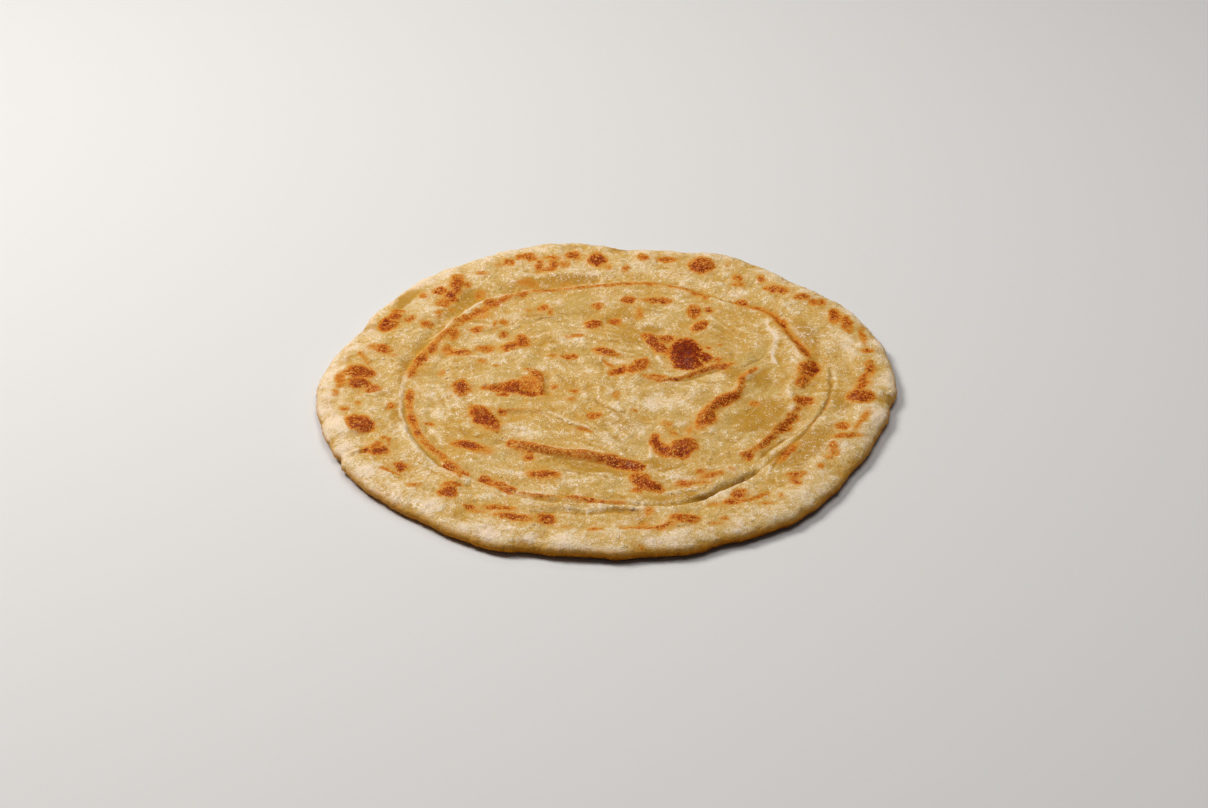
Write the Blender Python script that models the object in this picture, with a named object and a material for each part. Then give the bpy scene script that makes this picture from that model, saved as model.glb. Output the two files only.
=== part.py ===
# A paratha: a pan-fried layered flatbread, lying flat, about 212 mm across and 6 mm thick.
# A rolled strip of dough was coiled and pressed flat, so one fold line winds in from the
# right and goes once round. Shorter folds, hollows and browned blisters stand on the disc.
# The sizes below are in millimetres; the mesh is made in metres.

import math

import bmesh
import bpy
import numpy as np

MM = 0.001

# Body
SKIN_HEIGHT = 5.3
RIM_WIDEST_HEIGHT = 2.7
RIM_ROLL_WIDTH = 9.0
RIM_SQUARENESS = 2.3
FOOT_INSET = 6.5
RING_CROWN = 0.55

# Outline: degrees anticlockwise from +X, and the radius there
OUTLINE = (
    (0, 106.3), (30, 108.0), (45, 106.0), (62, 109.2), (76, 104.6), (85, 104.0),
    (96, 109.0), (107, 109.8), (120, 107.0), (130, 106.4), (140, 104.0), (157, 100.6),
    (168, 102.3), (180, 105.0), (200, 105.2), (215, 106.3), (235, 105.8), (250, 108.4),
    (260, 106.0), (285, 107.7), (292, 106.8), (308, 107.3), (320, 104.0), (330, 102.4),
    (343, 102.6), (352, 104.3),
)
NOTCH_ANGLE = 207.5
NOTCH_DEPTH = 1.8
NOTCH_HALF_ANGLE = 1.6

# Coil line: degrees wound clockwise from its outer end, and the radius there
COIL_START_ANGLE = 12.0
COIL_START_RADIUS = 85.0
COIL_END_TURN = 419.0
COIL = (
    (0, 85.0), (12, 83.0), (25, 81.0), (35, 78.5), (49, 78.0), (60, 79.0), (72, 80.5),
    (83, 83.5), (92, 81.0), (105, 78.5), (125, 79.0), (135, 78.0), (147, 80.0),
    (160, 79.0), (172, 76.5), (185, 74.0), (200, 72.0), (218, 71.0), (232, 73.0),
    (243, 75.5), (254, 74.0), (274, 71.0), (294, 75.0), (318, 74.0), (325, 77.5),
    (333, 80.5), (342, 78.5), (350, 77.0), (362, 78.5), (376, 71.5), (390, 72.0),
    (400, 70.0), (415, 70.0), (419, 68.5),
)

# Cross-section of the coil line on its way round. A place is across the line, + outwards.
# turn: crest height, half width, place; groove depth, half width, place
COIL_SECTION = (
    (0, 0.2, 2.0, 1.5, 0.4, 1.5, 0.0),
    (30, 0.4, 2.0, 2.5, 1.1, 1.3, 0.0),
    (58, 0.6, 2.0, 2.8, 1.3, 1.5, 0.0),
    (70, 0.8, 2.0, 3.2, 2.0, 1.8, 0.0),
    (86, 0.3, 2.0, 2.6, 0.9, 1.3, 0.0),
    (120, 0.4, 2.0, -1.8, 0.8, 1.3, 0.6),
    (140, 0.8, 1.6, 2.0, 1.2, 1.5, -1.0),
    (185, 1.0, 1.6, 2.2, 1.2, 1.6, -0.8),
    (210, 0.9, 2.0, -1.2, 1.3, 2.6, 2.6),
    (245, 1.1, 1.8, -0.6, 1.6, 4.0, 4.2),
    (262, 0.7, 1.8, -1.0, 1.0, 3.0, 3.0),
    (285, 0.6, 1.8, 0.0, 0.7, 3.5, 5.0),
    (320, 0.6, 2.2, -2.0, 0.8, 1.6, 1.0),
    (345, 0.8, 2.4, -3.2, 0.9, 1.8, 0.6),
    (375, 1.1, 2.6, -3.6, 0.9, 3.2, 3.2),
    (405, 0.8, 2.4, -2.6, 0.9, 3.0, 3.0),
    (419, 0.2, 2.0, -2.0, 0.3, 2.0, 2.0),
)

# Shorter folds: the line's points, crest height and half width, then the depth, half width
# and place of the hollow beside it, + to the left of the line as it is listed
FOLDS = {
    "long ridge": (
        ((-36, -40.5), (-29, -43), (-18, -46.5), (-9, -48), (-3, -50), (3, -51.5),
         (9, -54.5), (15, -60)),
        1.5, 1.7, 1.0, 4.5, -6.0),
    "right ridge": (
        ((58, 11), (53, 5.5), (50, 0), (48, -8), (43, -13), (38.5, -17), (36, -24),
         (32.5, -33)),
        1.2, 2.2, 1.1, 5.5, 9.0),
    "torn flake": (
        ((13, 5.5), (20, 1.3), (26, 2), (33, 7.5), (41, 11), (51, 11)),
        0.8, 1.3, 0.7, 3.0, -4.0),
    "left strand": (
        ((-40, -19), (-30, -19.5), (-20, -21), (-12, -28), (0, -36)),
        0.5, 1.5, 0.3, 2.5, -3.0),
    "small arc": (
        ((-32, 10), (-26, 8), (-23.5, 3), (-23, -4), (-24, -10)),
        0.5, 1.6, 0.6, 1.8, 2.6),
    "upper hollow": (
        ((2, 49), (8, 43.5), (16, 40.5), (25, 40)),
        0.2, 1.5, 0.8, 2.6, -2.0),
    "left strands": (
        ((-66, -40), (-65, -20), (-64.5, 0), (-62, 20), (-57, 34)),
        0.5, 1.6, 0.5, 2.4, -3.4),
    "front crease": (
        ((-28, -84.5), (-18, -82.5), (-7, -83.5), (3, -81.5), (15, -83.5)),
        0.4, 1.6, 0.8, 1.5, -2.4),
    "notch crease": (
        ((-96, -50.5), (-89, -48), (-83, -45)),
        0.3, 1.2, 1.2, 1.4, -1.6),
    "upper ring valley": (
        ((-63, 52), (-53, 64), (-41, 72), (-28, 75), (-12, 76.5), (2, 78)),
        0.0, 1.5, 0.8, 4.5, 0.0),
}
FOLD_FADE_SHARE = 0.14

# Blisters that the pan browned: centre, length, width, degrees turned, height
BLISTERS = (
    (30, 20, 21, 12, 75, 1.1), (19, 28, 14, 6, -60, 0.7), (43, -13, 12, 6, 50, 0.6),
    (36, -26, 13, 7, 85, 0.7), (27, -44, 12, 9, 60, 1.0), (13, -67, 13, 9, -45, 0.8),
    (-43, -25, 18, 7, -62, 0.8), (-52, -4, 10, 6, 80, 0.7), (-33, 27, 12, 9, 50, 0.8),
    (-33, -4, 10, 8, 60, 0.8), (-55, 20, 10, 6, 0, 0.5), (-45, 40, 10, 8, 30, 0.6),
    (36, 40, 9, 6, 60, 0.7), (15, 61, 16, 6, -5, 0.6), (-4, 42, 8, 6, 45, 0.6),
    (13, 9, 12, 6, 60, 0.6), (0, 21, 9, 6, -25, 0.5), (-22, -62, 12, 6, -10, 0.5),
    (38, 87, 12, 10, 80, 0.8), (-3, 91, 10, 8, 70, 0.7), (-58, 69, 16, 9, 75, 0.6),
    (-24, 89, 11, 9, 0, 0.6), (67, 67, 10, 6, -30, 0.6), (89, 44, 16, 6, -60, 0.6),
    (93, -10, 15, 8, 80, 0.8), (88, -30, 12, 7, 65, 0.5), (73, -4, 12, 6, 90, 0.6),
    (45, -76, 12, 6, 40, 0.7), (25, -90, 14, 7, 20, 0.7), (-31, -86, 16, 7, -10, 0.6),
    (-54, -71, 11, 8, 80, 0.6), (-80, -45, 11, 9, 60, 0.6), (-87, -30, 14, 9, 50, 0.9),
    (-90, 2, 14, 12, 80, 0.7), (-84, 20, 9, 8, 60, 0.5), (-81, 45, 14, 8, 60, 0.6),
)

# Soft unevenness of the pressed dough: wavelength, direction in degrees, height
WAVES = ((47, 20, 0.16), (31, 75, 0.14), (21, 130, 0.10), (16, 40, 0.08))

# Mesh: squares along a side of the inner disc, and rings from there to the rim
DISC_SIDE = 46
RING_STEPS = 5
ROLL_STEPS = 5
UNDER_ROLL_STEPS = 2
LINE_CLEARANCE = 2.2
LAST_WIND_GAP = 9.0


def smooth_through(points, steps=10):
    # Catmull-Rom curve through the points, as an array of steps samples for each stretch
    knots = np.array(points, float)
    knots = np.vstack((2 * knots[0] - knots[1], knots, 2 * knots[-1] - knots[-2]))
    share = (np.arange(steps) / steps)[:, None]
    runs = []
    for before, here, there, after in zip(knots, knots[1:], knots[2:], knots[3:]):
        slope_here = (there - before) / 2
        slope_there = (after - here) / 2
        gap = there - here
        runs.append(
            here
            + slope_here * share
            + (3 * gap - 2 * slope_here - slope_there) * share**2
            + (slope_here + slope_there - 2 * gap) * share**3
        )
    return np.vstack((*runs, knots[-2]))


def smoothstep(share):
    share = np.clip(share, 0.0, 1.0)
    return share * share * (3 - 2 * share)


def outline_radius(degrees):
    wrapped = OUTLINE[-2:], OUTLINE, OUTLINE[:2]
    knots = [
        (angle + 360 * (turn - 1), radius)
        for turn, part in enumerate(wrapped)
        for angle, radius in part
    ]
    curve = smooth_through(knots)
    degrees = degrees % 360
    off_notch = (degrees - NOTCH_ANGLE) / NOTCH_HALF_ANGLE
    return np.interp(degrees, curve[:, 0], curve[:, 1]) - NOTCH_DEPTH * np.exp(-(off_notch**2))


def coil_radius(turn):
    curve = smooth_through(COIL)
    return np.interp(turn, curve[:, 0], curve[:, 1])


def coil_points(first_turn, last_turn):
    # The coil line itself, a point for each degree of turn
    turn = np.arange(first_turn, last_turn + 1.0)
    angle = np.radians(COIL_START_ANGLE - turn)
    radius = coil_radius(turn)
    return turn, np.stack((radius * np.cos(angle), radius * np.sin(angle)), axis=1)


def distance_to_line(spots, line):
    # For each spot: the nearest sample, and the distance with + to the left of the line
    along = np.gradient(line, axis=0)
    offset = spots[:, None, :] - line[None, :, :]
    squared = (offset**2).sum(axis=2)
    nearest = squared.argmin(axis=1)
    rows = np.arange(len(spots))
    direction = along[nearest]
    off = offset[rows, nearest]
    turned = direction[:, 0] * off[:, 1] - direction[:, 1] * off[:, 0]
    return nearest, np.sqrt(squared[rows, nearest]) * np.sign(turned)


def bump(distance, half_width):
    return np.exp(-((distance / half_width) ** 2))


def coil_relief(spots):
    # The line winds clockwise, so its left is its outer side. The last part of the coil
    # lies inside the first, so each part is measured by itself.
    section = np.array(COIL_SECTION, float)
    height = np.zeros(len(spots))
    for first_turn, last_turn in ((0.0, 360.0), (360.0, COIL_END_TURN)):
        turns, line = coil_points(first_turn, last_turn)
        nearest, side = distance_to_line(spots, line)
        turn = turns[nearest]
        crest, crest_width, crest_place, groove, groove_width, groove_place = (
            np.interp(turn, section[:, 0], column) for column in section.T[1:]
        )
        past_end = (nearest == 0) | (nearest == len(line) - 1)
        joins = (turn == 360.0) & past_end
        height += np.where(
            joins,
            0.0,
            crest * bump(side - crest_place, crest_width)
            - groove * bump(side - groove_place, groove_width),
        )
    return height


def fold_relief(spots):
    height = np.zeros(len(spots))
    for points, crest, crest_width, hollow, hollow_width, hollow_place in FOLDS.values():
        line = smooth_through(points)
        nearest, side = distance_to_line(spots, line)
        share = nearest / (len(line) - 1)
        fade = smoothstep(np.minimum(share, 1 - share) / FOLD_FADE_SHARE)
        height += fade * (
            crest * bump(side, crest_width) - hollow * bump(side - hollow_place, hollow_width)
        )
    return height


def blister_relief(spots):
    # Low domes with a flattened top
    height = np.zeros(len(spots))
    for x, y, length, width, turned, rise in BLISTERS:
        angle = math.radians(turned)
        dx = spots[:, 0] - x
        dy = spots[:, 1] - y
        along = (dx * math.cos(angle) + dy * math.sin(angle)) / (length / 2)
        across = (dy * math.cos(angle) - dx * math.sin(angle)) / (width / 2)
        height += rise * smoothstep(1.4 - np.sqrt(along**2 + across**2))
    return height


def wave_relief(spots):
    height = np.zeros(len(spots))
    for order, (length, direction, rise) in enumerate(WAVES):
        angle = math.radians(direction)
        along = spots[:, 0] * math.cos(angle) + spots[:, 1] * math.sin(angle)
        across = spots[:, 1] * math.cos(angle) - spots[:, 0] * math.sin(angle)
        phase = 1.7 * order
        height += rise * np.sin(2 * math.pi * along / length + phase) * np.cos(
            2 * math.pi * across / (1.3 * length) - phase
        )
    return height


def skin_height(spots):
    # Height of the top skin above the resting face, before the rim rolls down
    degrees = np.degrees(np.arctan2(spots[:, 1], spots[:, 0]))
    radius = np.hypot(spots[:, 0], spots[:, 1])
    edge = outline_radius(degrees)
    coil = coil_radius((COIL_START_ANGLE - degrees) % 360)
    share = np.clip((radius - coil) / (edge - coil), 0.0, 1.0)
    crown = RING_CROWN * np.sin(math.pi * share) ** 2
    near_edge = smoothstep((edge - radius) / RIM_ROLL_WIDTH)
    detail = coil_relief(spots) + fold_relief(spots) + blister_relief(spots) + wave_relief(spots)
    return SKIN_HEIGHT + (crown + detail) * (0.25 + 0.75 * near_edge)


def ring_guides(degrees):
    # Two closed rings of radii that run along the coil line: the outer follows its first
    # turn, the inner its tail, and elsewhere the inner keeps a fixed gap from the outer.
    turn = (COIL_START_ANGLE - degrees) % 360
    rise = smoothstep((turn - 335) / 25)
    outer = coil_radius(turn) * (1 - rise) + COIL_START_RADIUS * rise
    plain = outer - LAST_WIND_GAP
    tail_in = smoothstep((turn - 325) / 25)
    tail_out = 1 - smoothstep((turn - (COIL_END_TURN - 360)) / 15)
    tail_turn = np.where(turn < 180, turn + 360, turn)
    on_tail = np.where(turn < 180, tail_out, tail_in)
    inner = plain * (1 - on_tail) + coil_radius(tail_turn) * on_tail
    return inner, outer


def square_to_disc(a, b):
    # Squares of a grid from -1 to 1 laid out as a disc of radius 1, with even areas
    big = np.where(np.abs(a) > np.abs(b), a, b)
    small = np.where(np.abs(a) > np.abs(b), b, a)
    swing = (math.pi / 4) * np.divide(small, big, out=np.zeros_like(big), where=big != 0)
    along_x = np.abs(a) > np.abs(b)
    x = np.where(along_x, big * np.cos(swing), big * np.sin(swing))
    y = np.where(along_x, big * np.sin(swing), big * np.cos(swing))
    return x, y


def add_disc(bm):
    # The inner disc as one sheet of squares, returned with its border in order
    steps = np.linspace(-1, 1, DISC_SIDE + 1)
    a, b = np.meshgrid(steps, steps, indexing="ij")
    x, y = square_to_disc(a.ravel(), b.ravel())
    degrees = np.degrees(np.arctan2(y, x))
    reach = ring_guides(degrees)[0] - LINE_CLEARANCE
    spots = np.stack((x * reach, y * reach), axis=1)
    heights = skin_height(spots)
    verts = [
        bm.verts.new((px * MM, py * MM, pz * MM))
        for (px, py), pz in zip(spots.tolist(), heights.tolist())
    ]
    grid = [verts[i * (DISC_SIDE + 1) : (i + 1) * (DISC_SIDE + 1)] for i in range(DISC_SIDE + 1)]
    for i in range(DISC_SIDE):
        for j in range(DISC_SIDE):
            bm.faces.new((grid[i][j], grid[i + 1][j], grid[i + 1][j + 1], grid[i][j + 1]))
    last = DISC_SIDE
    border = [grid[i][0] for i in range(last)]
    border += [grid[last][j] for j in range(last)]
    border += [grid[i][last] for i in range(last, 0, -1)]
    border += [grid[0][j] for j in range(last, 0, -1)]
    return border


def add_ring(bm, inner_ring, positions):
    # One more ring of vertices, joined to the ring inside it
    ring = [bm.verts.new([value * MM for value in position]) for position in positions.tolist()]
    count = len(ring)
    for i in range(count):
        j = (i + 1) % count
        bm.faces.new((inner_ring[i], ring[i], ring[j], inner_ring[j]))
    return ring


def top_ring(degrees, radius):
    angle = np.radians(degrees)
    spots = np.stack((radius * np.cos(angle), radius * np.sin(angle)), axis=1)
    return np.column_stack((spots, skin_height(spots)))


def rolled_ring(degrees, lean):
    # The rounded rim: lean 0 is where the skin starts to roll down, 90 the widest line and
    # 180 the foot on the resting face
    angle = np.radians(degrees)
    edge = outline_radius(degrees)
    turn = math.radians(lean)
    out = abs(math.sin(turn)) ** (2 / RIM_SQUARENESS)
    up = abs(math.cos(turn)) ** (2 / RIM_SQUARENESS)
    if lean <= 90:
        inset = RIM_ROLL_WIDTH * (1 - out)
        start = edge - RIM_ROLL_WIDTH
        spots = np.stack((start * np.cos(angle), start * np.sin(angle)), axis=1)
        rise = (skin_height(spots) - RIM_WIDEST_HEIGHT) * up
    else:
        inset = FOOT_INSET * (1 - out)
        rise = np.full(len(degrees), -RIM_WIDEST_HEIGHT * up)
    radius = edge - inset
    return np.column_stack((radius * np.cos(angle), radius * np.sin(angle), RIM_WIDEST_HEIGHT + rise))


def make_body():
    bm = bmesh.new()
    ring = add_disc(bm)
    degrees = np.degrees([math.atan2(vert.co.y, vert.co.x) for vert in ring])
    inner, outer = ring_guides(degrees)
    edge = outline_radius(degrees) - RIM_ROLL_WIDTH
    radii = [inner, inner + LINE_CLEARANCE, (inner + outer) / 2]
    radii += [outer - LINE_CLEARANCE, outer, outer + LINE_CLEARANCE]
    start = outer + LINE_CLEARANCE
    radii += [start + (edge - start) * step / RING_STEPS for step in range(1, RING_STEPS + 1)]
    for radius in radii:
        ring = add_ring(bm, ring, top_ring(degrees, radius))
    leans = [90 * step / ROLL_STEPS for step in range(1, ROLL_STEPS + 1)]
    leans += [90 + 90 * step / UNDER_ROLL_STEPS for step in range(1, UNDER_ROLL_STEPS + 1)]
    for lean in leans:
        ring = add_ring(bm, ring, rolled_ring(degrees, lean))
    bm.faces.new(reversed(ring))
    return bm


def baked_dough():
    material = bpy.data.materials.new("baked dough")
    material.use_nodes = True
    shader = material.node_tree.nodes["Principled BSDF"]
    shader.inputs["Base Color"].default_value = (0.66, 0.42, 0.19, 1.0)
    shader.inputs["Roughness"].default_value = 0.5
    shader.inputs["Metallic"].default_value = 0.0
    return material


def centre_on_origin(bm):
    # The folds are measured from the coil's middle; the finished bread has its box centred
    xs = [vert.co.x for vert in bm.verts]
    ys = [vert.co.y for vert in bm.verts]
    shift = (-(min(xs) + max(xs)) / 2, -(min(ys) + max(ys)) / 2, 0.0)
    bmesh.ops.translate(bm, verts=bm.verts, vec=shift)


def make_paratha():
    bm = make_body()
    centre_on_origin(bm)
    mesh = bpy.data.meshes.new("paratha")
    bm.to_mesh(mesh)
    bm.free()
    mesh.materials.append(baked_dough())
    mesh.shade_smooth()
    bread = bpy.data.objects.new("paratha", mesh)
    bpy.context.scene.collection.objects.link(bread)
    return bread


def clear_scene():
    for item in list(bpy.data.objects):
        bpy.data.objects.remove(item, do_unlink=True)


clear_scene()
make_paratha()
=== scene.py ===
import math

import bpy
import numpy as np
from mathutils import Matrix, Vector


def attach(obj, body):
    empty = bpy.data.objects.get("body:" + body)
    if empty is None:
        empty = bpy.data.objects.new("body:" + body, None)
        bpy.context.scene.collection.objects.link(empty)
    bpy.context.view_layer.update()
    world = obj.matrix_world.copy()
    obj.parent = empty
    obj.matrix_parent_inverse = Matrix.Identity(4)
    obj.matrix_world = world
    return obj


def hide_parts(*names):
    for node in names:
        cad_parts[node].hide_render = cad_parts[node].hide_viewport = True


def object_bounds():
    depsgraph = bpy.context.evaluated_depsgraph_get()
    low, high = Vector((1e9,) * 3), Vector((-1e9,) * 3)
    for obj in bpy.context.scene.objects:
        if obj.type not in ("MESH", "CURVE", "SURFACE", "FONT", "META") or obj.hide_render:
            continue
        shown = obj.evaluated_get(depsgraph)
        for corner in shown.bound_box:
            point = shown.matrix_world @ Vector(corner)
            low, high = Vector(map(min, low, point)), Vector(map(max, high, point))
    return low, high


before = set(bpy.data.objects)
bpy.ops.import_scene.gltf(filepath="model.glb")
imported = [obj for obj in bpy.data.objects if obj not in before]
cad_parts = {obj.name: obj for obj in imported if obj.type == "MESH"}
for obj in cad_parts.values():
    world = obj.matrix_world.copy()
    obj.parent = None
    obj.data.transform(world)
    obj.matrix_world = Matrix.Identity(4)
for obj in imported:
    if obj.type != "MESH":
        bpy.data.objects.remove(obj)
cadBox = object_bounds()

mm = 0.001

# The whole bread: sizes in millimetres, heights above the floor
bread = {
    "skinHeight": 5.3,
    "rimWidestHeight": 2.7,
    "rimRollWidth": 9.0,
    "rimSquareness": 2.3,
    "footInset": 6.5,
    "ringCrown": 0.35,
    "rimPuff": 0.5,           # the edge is a soft roll, a little above the flat ring
    "rimPuffPlace": 8.5,
    "rimPuffWidth": 4.5,
    "edgeRelief": 0.25,       # share of the relief that is left where the rim rolls down
    "ceilingRoom": 0.5,       # peaks are pressed down softly this far below the highest point
    "gridSide": 264,          # squares along one side of the top sheet
    "rollSteps": 13,          # rows from the shoulder to the widest line
    "underRollSteps": 6,      # rows from there to the foot
    "underEvery": 4,          # the underside has a point for each 4 of the rim
    "underGap": 3.0,          # and ends this far inside the foot
}

# Outline: degrees anticlockwise from +X, and the radius there
outlineKnots = (
    (0, 106.3), (30, 108.0), (45, 106.0), (62, 109.2), (76, 104.6), (85, 104.0),
    (96, 109.0), (107, 109.8), (120, 107.0), (130, 106.4), (140, 104.0), (157, 100.6),
    (168, 102.3), (180, 105.0), (200, 105.2), (215, 106.3), (235, 105.8), (250, 108.4),
    (260, 106.0), (285, 107.7), (292, 106.8), (308, 107.3), (320, 104.0), (330, 102.4),
    (343, 102.6), (352, 104.3),
)
notch = {"angle": 207.5, "depth": 1.8, "halfAngle": 1.6}

# Coil line: degrees wound clockwise from its outer end, and the radius there
coilStartAngle = 12.0
coilEndTurn = 419.0
coilKnots = (
    (0, 85.0), (12, 83.0), (25, 81.0), (35, 78.5), (49, 78.0), (60, 79.0), (72, 80.5),
    (83, 83.5), (92, 81.0), (105, 78.5), (125, 79.0), (135, 78.0), (147, 80.0),
    (160, 79.0), (172, 76.5), (185, 74.0), (200, 72.0), (218, 71.0), (232, 73.0),
    (243, 75.5), (254, 74.0), (274, 71.0), (294, 75.0), (318, 74.0), (325, 77.5),
    (333, 80.5), (342, 78.5), (350, 77.0), (362, 78.5), (376, 71.5), (390, 72.0),
    (400, 70.0), (415, 70.0), (419, 68.5),
)

# Cross-section of the coil line by turn. A place is across the line, + outwards.
# crest height, half width, place; groove depth, half width, place; and the lip of the layer
# that lies on top, + where the inner one does, with how far back it fades
coilSection = (
    (0, 0.1, 2.0, 1.5, 0.1, 0.6, 0.0, 0.0, 2.0),
    (30, 0.08, 2.0, 2.5, 0.35, 0.5, 0.0, 0.1, 2.0),
    (58, 0.2, 2.0, 2.8, 0.5, 0.7, 0.0, -0.3, 2.0),
    (70, 0.35, 2.0, 3.2, 1.5, 1.4, -0.4, -0.5, 2.5),
    (80, 0.3, 2.0, 3.0, 1.3, 1.1, -0.3, -0.45, 2.5),
    (90, 0.3, 2.0, 2.6, 0.8, 0.8, 0.0, 0.1, 2.0),
    (120, 0.3, 2.0, -1.8, 0.6, 0.9, 0.6, 0.4, 3.0),
    (140, 0.6, 1.5, 1.6, 0.7, 1.1, -1.2, -0.2, 2.0),
    (185, 0.55, 1.5, 1.4, 0.6, 1.2, -1.0, -0.2, 2.0),
    (200, 0.5, 1.4, 0.0, 0.8, 1.8, 2.0, 0.3, 2.5),
    (215, 0.5, 2.0, -1.2, 0.9, 2.6, 2.6, 0.7, 4.0),
    (245, 0.6, 1.8, -0.6, 1.2, 4.0, 4.2, 0.8, 4.0),
    (262, 0.5, 1.8, -1.0, 0.8, 3.0, 3.0, 0.5, 3.5),
    (285, 0.5, 1.6, 0.0, 0.5, 3.5, 5.0, 0.2, 3.0),
    (320, 0.5, 2.0, -2.0, 0.7, 1.4, 1.0, 0.3, 3.0),
    (345, 0.7, 2.2, -3.2, 0.7, 1.5, 0.6, 0.4, 3.0),
    (375, 0.9, 2.2, -3.8, 0.7, 2.8, 3.2, 0.3, 3.0),
    (405, 0.6, 2.2, -2.6, 0.7, 2.6, 3.0, 0.3, 3.0),
    (419, 0.1, 2.0, -2.0, 0.2, 2.0, 2.0, 0.0, 3.0),
)

# Shorter folds: the line's points, crest height and half width, then the depth, half width
# and place of the hollow beside it, + to the left of the line as it is listed, and the
# height of a lip, + where the left side lies on top
folds = {
    "long ridge": (
        ((-36, -40.5), (-29, -43), (-18, -46.5), (-9, -48), (-3, -50), (3, -51.5),
         (9, -54.5), (15, -60)),
        0.85, 1.7, 0.9, 4.2, -5.6, 0.4),
    "right ridge": (
        ((58, 11), (53, 5.5), (50, 0), (48, -8), (43, -13), (38.5, -17), (36, -24),
         (32.5, -33)),
        0.9, 1.8, 1.0, 5.5, 9.0, -0.3),
    "torn flake": (
        ((13, 5.5), (20, 1.3), (26, 2), (33, 7.5), (41, 11), (51, 11)),
        0.4, 1.1, 0.45, 2.8, -3.6, 0.2),
    "left strand": (
        ((-40, -19), (-30, -19.5), (-20, -21), (-12, -28), (0, -36)),
        0.4, 0.9, 0.3, 2.2, -2.6, 0.2),
    "small arc": (
        ((-32, 10), (-26, 8), (-23.5, 3), (-23, -4), (-24, -10)),
        0.4, 1.0, 0.6, 1.6, 2.2, -0.3),
    "upper hollow": (
        ((2, 49), (8, 43.5), (16, 40.5), (25, 40)),
        0.2, 1.2, 0.7, 2.4, -2.0, 0.2),
    "left strands": (
        ((-66, -40), (-65, -20), (-64.5, 0), (-62, 20), (-57, 34)),
        0.2, 1.4, 0.25, 2.2, -3.0, 0.05),
    "front crease": (
        ((-28, -84.5), (-18, -82.5), (-7, -83.5), (3, -81.5), (15, -83.5)),
        0.3, 1.2, 0.7, 1.2, -1.8, 0.3),
    "notch crease": (
        ((-96, -50.5), (-89, -48), (-83, -45)),
        0.3, 1.0, 0.9, 0.9, -1.2, 0.3),
    "upper ring valley": (
        ((-63, 52), (-53, 64), (-41, 72), (-28, 75), (-12, 76.5), (2, 78)),
        0.0, 1.5, 0.7, 4.2, 0.0, 0.0),
}

# Thin torn layers on the inner disc: the line's points and the height of their edge
strands = (
    (((-2, -10), (2, -15), (8, -19.5)), 0.35),
    (((-20, -20.5), (-14, -26), (-8, -31.5), (1, -36)), 0.3),
    (((-14, -35.5), (-6, -38.5), (1, -41), (7, -45), (13, -49)), 0.3),
    (((-11, -30), (-4, -35), (2, -38)), 0.25),
    (((-64, 11), (-62.5, 3), (-60.5, -6), (-57, -15), (-55, -24)), 0.35),
    (((-61, -12), (-59, -24), (-55, -36), (-50, -43)), 0.35),
    (((-54, -18), (-51, -28), (-46, -36)), 0.3),
    (((-67, -22), (-64, -34), (-59, -43), (-53, -50)), 0.3),
    (((18, 19.5), (20, 15), (22.5, 11)), 0.4),
    (((23, 16), (24.5, 12), (26.5, 8.5)), 0.4),
    (((4, 34), (6, 29), (5, 23)), 0.3),
    (((62, 46), (63.5, 38), (64, 30), (62, 21), (64, 13), (66, 4), (67, -5), (67, -14)), 0.3),
    (((80, 33), (82.5, 20), (83.5, 8)), 0.25),
    (((75, 38), (77.5, 33), (79, 28)), 0.3),
    (((-35, -50), (-30, -55), (-31, -62)), 0.25),
    (((-46, -52), (-41, -58), (-33, -63)), 0.3),
    (((-16, -66), (-5, -69.5), (4, -70)), 0.3),
    (((20, -60), (28, -60), (37, -56), (45, -49)), 0.3),
    (((16, -73), (26, -72), (36, -68)), 0.25),
    (((12, -28), (20, -31), (27, -38)), 0.3),
    (((14, -36), (16, -42), (15.5, -50)), 0.4),
    (((30, -31), (32, -37), (31, -43)), 0.3),
    (((40, 2), (46, -1), (49, -1)), 0.35),
    (((36, 3), (41, -4), (43, -9)), 0.25),
    (((55, -2), (56, -11), (53, -19), (48, -26)), 0.25),
    (((48, 24), (46, 19), (48, 14)), 0.25),
    (((50, 32), (54, 26), (53, 19)), 0.25),
    (((-8, 12), (-3, 15), (-1, 20)), 0.3),
    (((-46, 12), (-38, 8), (-33, 2)), 0.3),
    (((-45, -12), (-36, -14), (-27, -13)), 0.3),
    (((-20, 6), (-15, 3), (-12, -3)), 0.25),
    (((-14, -15), (-8, -20), (-7, -27)), 0.25),
    (((-22, 34), (-14, 30), (-8, 24)), 0.25),
    (((-45, 30), (-40, 37), (-33, 42)), 0.25),
    (((-30, 44), (-22, 47), (-14, 45)), 0.25),
    (((10, 55), (20, 53), (28, 48)), 0.25),
    (((42, 44), (47, 38), (50, 30)), 0.25),
    (((-56, 10), (-50, 12), (-46, 9)), 0.25),
)

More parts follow.
